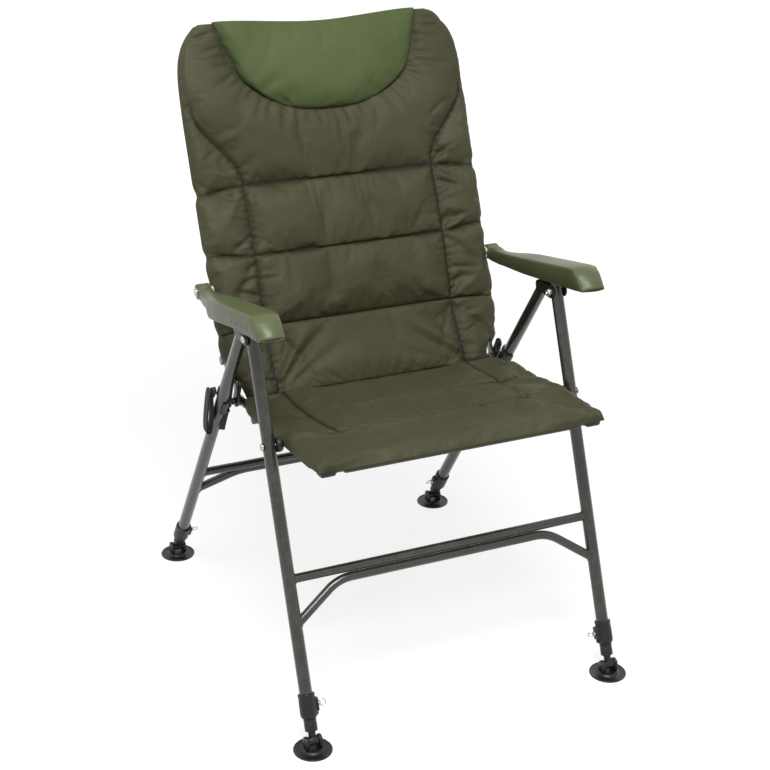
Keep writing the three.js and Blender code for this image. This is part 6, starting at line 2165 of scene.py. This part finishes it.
@dataclass
class ClosingStrap:
    """The black webbing on the left rear leg: a turn behind the leg, a hanging loop and a tail."""

    up: float = 563.0
    width: float = 19.0
    thick: float = 1.8
    layer: float = 2.1
    loop_in: float = 301.3
    loop_out: float = 321.5
    loop_y: float = 78.0
    loop_top: float = 489.0
    loop_low: float = 400.0
    turn_from: float = 190.0
    turn_to: float = 378.0
    tail_long: float = 95.0
    tail_wide: float = 11.5
    tail_in: float = 16.0
    tail_lean: float = 7.0

    def band(self, path: np.ndarray, across: np.ndarray, half: float, closed: bool = False) -> Shell:
        """A flat band of webbing with thick edges, along a path."""
        ways = np.gradient(path, axis=0)
        if closed:
            ways = np.roll(path, -1, axis=0) - np.roll(path, 1, axis=0)
        rings = []
        flat, thin = 0.82 * half, 0.5 * self.thick
        outline = ((-half, -0.5 * thin), (-half, 0.5 * thin), (-flat, thin), (flat, thin),
                   (half, 0.5 * thin), (half, -0.5 * thin), (flat, -thin), (-flat, -thin))
        for place, way, side in zip(path, ways, across):
            side = unit(side - unit(way) * (side @ unit(way)))
            out = unit(np.cross(unit(way), side))
            rings.append(np.array([place + side * a + out * b for a, b in outline]))
        return skin(rings, closed)

    def build(self) -> None:
        """Builds turn, loop and tail as one piece of webbing."""
        rear, x = CHAIR.leg(End.REAR), -CHAIR.leg_x
        centre = rear.at(self.up, x=x)
        radius = CHAIR.leg_radius + CHAIR.gap + 0.5 * self.thick
        turns = np.radians(np.linspace(self.turn_from, self.turn_to, 25))
        path = centre + radius * (np.outer(np.cos(turns), ACROSS) + np.outer(np.sin(turns), rear.normal))
        shells = [self.band(path, np.tile(rear.way, (len(path), 1)), 0.5 * self.width)]
        shells += [self.loop(shift) for shift in (0.0, self.layer)]
        shells.append(self.tail(centre, rear))
        shells.append(self.stitch_block(centre - rear.normal * radius - rear.way * 0.42 * self.width))
        made = make_object("closing_strap_webbing", together(*shells), STRAP_CLOTH, 40.0)
        self.lay_out(made)
        fit(made, STRAP_CLOTH, "rear_frame", "closing_strap")

    def loop(self, shift: float) -> Shell:
        """The hanging loop, pinched by its tack at the top and open at the bottom."""
        turns = np.arange(72) * 2 * math.pi / 72
        rise = (self.loop_top + self.loop_low) / 2 + shift
        height = rise + ((self.loop_top - self.loop_low) / 2 - 3.0 - shift) * np.cos(turns)
        share = (self.loop_top - height) / (self.loop_top - self.loop_low)
        outer = -(self.loop_out - 9.0) - 8.0 * share + 0.5 * self.thick + shift
        inner = -self.loop_in - 0.5 * self.thick - 1.5 - shift - 3.0 * share ** 4
        turn = np.sign(np.sin(turns)) * np.abs(np.sin(turns)) ** 0.45
        x = (outer + inner) / 2 - (inner - outer) / 2 * turn
        path = np.column_stack((x, self.loop_y + 3.0 * share, height))
        across = np.tile((0.0, 1.0, 0.1), (len(path), 1))
        return self.band(path, across, 0.5 * self.width - 0.4 * shift, closed=True)

    def tail(self, centre: np.ndarray, rear: SideLine) -> Shell:
        """The tail that hangs on the inner side, behind the leg."""
        drop = np.linspace(-0.4 * self.width, 0.5 * self.width + self.tail_long, 20)
        away = CHAIR.leg_radius + CHAIR.gap + 1.5 * self.thick
        start = centre - rear.normal * away
        way = unit(-0.5 * rear.way - np.array((0.0, 0.0, 0.5)))
        inward = self.tail_in + np.linspace(0.0, -self.tail_lean, len(drop))
        inward += 1.4 * np.sin(np.clip(drop, 0, None) / 24.0)
        path = start + np.outer(drop, way) + np.outer(inward, ACROSS)
        return self.band(path, np.tile((1.0, -0.3, 0.0), (20, 1)), 0.5 * self.tail_wide)

    def stitch_block(self, start: np.ndarray) -> Shell:
        """The sewn tab that the loop hangs from."""
        x = -(CHAIR.leg_x + CHAIR.leg_radius + CHAIR.gap + 0.5 * self.thick)
        radius = 0.5 * self.width
        hang = np.array((x, self.loop_y, self.loop_top - radius))
        outline = bone_outline(start, 0.65 * radius, hang, radius)
        return plate(outline, x - self.thick, x + 0.5 * self.thick, 0.4)

    @staticmethod
    def lay_out(made: bpy.types.Object) -> None:
        """Gives the webbing flat coordinates for its weave."""
        layer = made.data.uv_layers.new(name="flat")
        for loop in made.data.loops:
            place = made.data.vertices[loop.vertex_index].co
            layer.data[loop.index].uv = (place.y + 0.3 * place.x, place.z)


@dataclass
class Studio:
    """The white room of the photograph: floor, sky, lamps and camera."""

    azimuth: float = math.radians(-25.35)
    elevation: float = math.radians(24.02)
    roll: float = math.radians(1.18)
    lens: float = 76.95
    place_m: tuple = (-1.1675, -2.4644, 1.6903)
    floor_half_m: float = 9.0
    sky_for_light: float = 0.25
    floor_grey: float = 0.36
    floor_glow: float = 0.8
    fade_from_m: float = 1.3
    fade_to_m: float = 2.6

    def build(self) -> None:
        """Builds the whole room."""
        self.floor()
        self.sky()
        self.lamps()
        self.camera()

    def floor(self) -> None:
        """A pale floor that keeps the chair's shadow."""
        half = self.floor_half_m
        mesh = bpy.data.meshes.new("studio_floor")
        mesh.from_pydata([(-half, -half, 0), (half, -half, 0), (half, half, 0), (-half, half, 0)], [],
                         [(0, 1, 2, 3)])
        paper = bpy.data.materials.new("studio paper")
        paper.use_nodes = True
        board = Board(paper.node_tree)
        matt = board.node("ShaderNodeBsdfDiffuse", {"Color": (*(self.floor_grey,) * 3, 1.0)})
        away = board.node("ShaderNodeVectorMath", {0: board.where()}, operation="LENGTH")
        bright = board.spread(away.outputs["Value"], self.fade_from_m, self.fade_to_m,
                              self.floor_glow, 1.0)
        strength = board.maths("MULTIPLY", self.seen(board), bright)
        glow = board.node("ShaderNodeEmission", {"Strength": strength})
        both = board.node("ShaderNodeAddShader", {0: matt.outputs[0], 1: glow.outputs[0]})
        board.node("ShaderNodeOutputMaterial", {"Surface": both.outputs[0]})
        mesh.materials.append(paper)
        placed("studio_floor", mesh)

    @staticmethod
    def seen(board: Board) -> bpy.types.NodeSocket:
        """1 for rays to the camera and in mirrors, and 0 for the rest."""
        rays = board.node("ShaderNodeLightPath").outputs
        return board.maths("MAXIMUM", rays["Is Camera Ray"], rays["Is Glossy Ray"])

    def sky(self) -> None:
        """A white sky, dimmer where it only lights the chair."""
        world = bpy.data.worlds.new("white room")
        bpy.context.scene.world = world
        world.use_nodes = True
        board = Board(world.node_tree)
        through = board.node("ShaderNodeLightPath").outputs["Is Transmission Ray"]
        seen = board.maths("MAXIMUM", self.seen(board), through)
        strength = board.maths("MULTIPLY_ADD", seen, 1.0 - self.sky_for_light, self.sky_for_light)
        takes = {"Color": (1.0, 1.0, 1.0, 1.0), "Strength": strength}
        light = board.node("ShaderNodeBackground", takes)
        board.node("ShaderNodeOutputWorld", {"Surface": light.outputs[0]})

    def lamp(self, name: str, place: tuple, aim: tuple, size: tuple, power: float) -> None:
        """A rectangular soft lamp that looks at a point."""
        data = bpy.data.lights.new(name, "AREA")
        data.shape = "RECTANGLE"
        data.size, data.size_y = size
        data.energy = power
        lamp = placed(name, data)
        lamp.location = place
        lamp.rotation_euler = (Vector(aim) - Vector(place)).to_track_quat("-Z", "Y").to_euler()

    def lamps(self) -> None:
        """A soft key lamp high in front, a tall one to the left and a narrow one behind on the right."""
        self.lamp("key", (-0.57, -1.50, 3.15), (0.0, 0.0, 0.6), (1.7, 1.1), 86.0)
        self.lamp("left", (-2.7, 0.7, 1.3), (0.0, 0.0, 0.6), (0.7, 1.9), 9.0)
        self.lamp("right edge", (2.4, 1.6, 1.6), (0.0, 0.0, 0.5), (0.35, 1.8), 5.0)

    def camera(self) -> None:
        """The camera of the photograph."""
        swing, rise = self.azimuth, self.elevation
        back = np.array((math.sin(swing) * math.cos(rise), -math.cos(swing) * math.cos(rise),
                         math.sin(rise)))
        right = np.array((math.cos(swing), math.sin(swing), 0.0))
        up = np.cross(back, right)
        turned = math.cos(self.roll) * right + math.sin(self.roll) * up
        raised = -math.sin(self.roll) * right + math.cos(self.roll) * up
        data = bpy.data.cameras.new("photograph")
        data.lens = self.lens
        data.sensor_width = 36.0
        data.sensor_fit = "HORIZONTAL"
        data.clip_end = 60.0
        camera = placed("photograph", data)
        pose = np.column_stack((turned, raised, back, self.place_m))
        camera.matrix_world = Matrix([*pose.tolist(), (0.0, 0.0, 0.0, 1.0)])
        bpy.context.scene.camera = camera


def main() -> None:
    """Builds the chair, its room and its camera."""
    logging.basicConfig(level=logging.INFO, format="%(name)s: %(message)s")
    bpy.context.scene.view_settings.view_transform = "Standard"
    LegFrame(End.FRONT, top_at=723.25, cross_up=275.0, brace_up=196.0, bend_in=87.0).build()
    LegFrame(End.REAR, top_at=764.71, cross_up=287.0, brace_up=224.0, bend_in=80.0).build()
    for side in Side:
        ApexJoint(side).build()
    SeatFrame().build()
    BackFrame().build()
    for side in Side:
        Armrest(side).build()
    ClosingStrap().build()
    SeatPad("seat_cushion", "seat_pad", "seat", CHAIR.seat, OLIVE_CLOTH).build()
    back = BackPad("back_cushion", "back_pad", "back", CHAIR.back, OLIVE_CLOTH, growth=0.03, seed=11)
    back.build()
    # The lowest panel is a piece of its own, because the seat presses on it when the chair folds
    replace(back, name="back_cushion_roll", keep=0.25, from_row=0.0, to_row=back.from_row).build()
    Headrest("headrest_cushion", "headrest_pad", "back", CHAIR.back, HEADREST_CLOTH, rim_bulge=1.5,
             growth=0.02, seed=23).build()
    Studio().build()


if __name__ == "__main__":
    main()
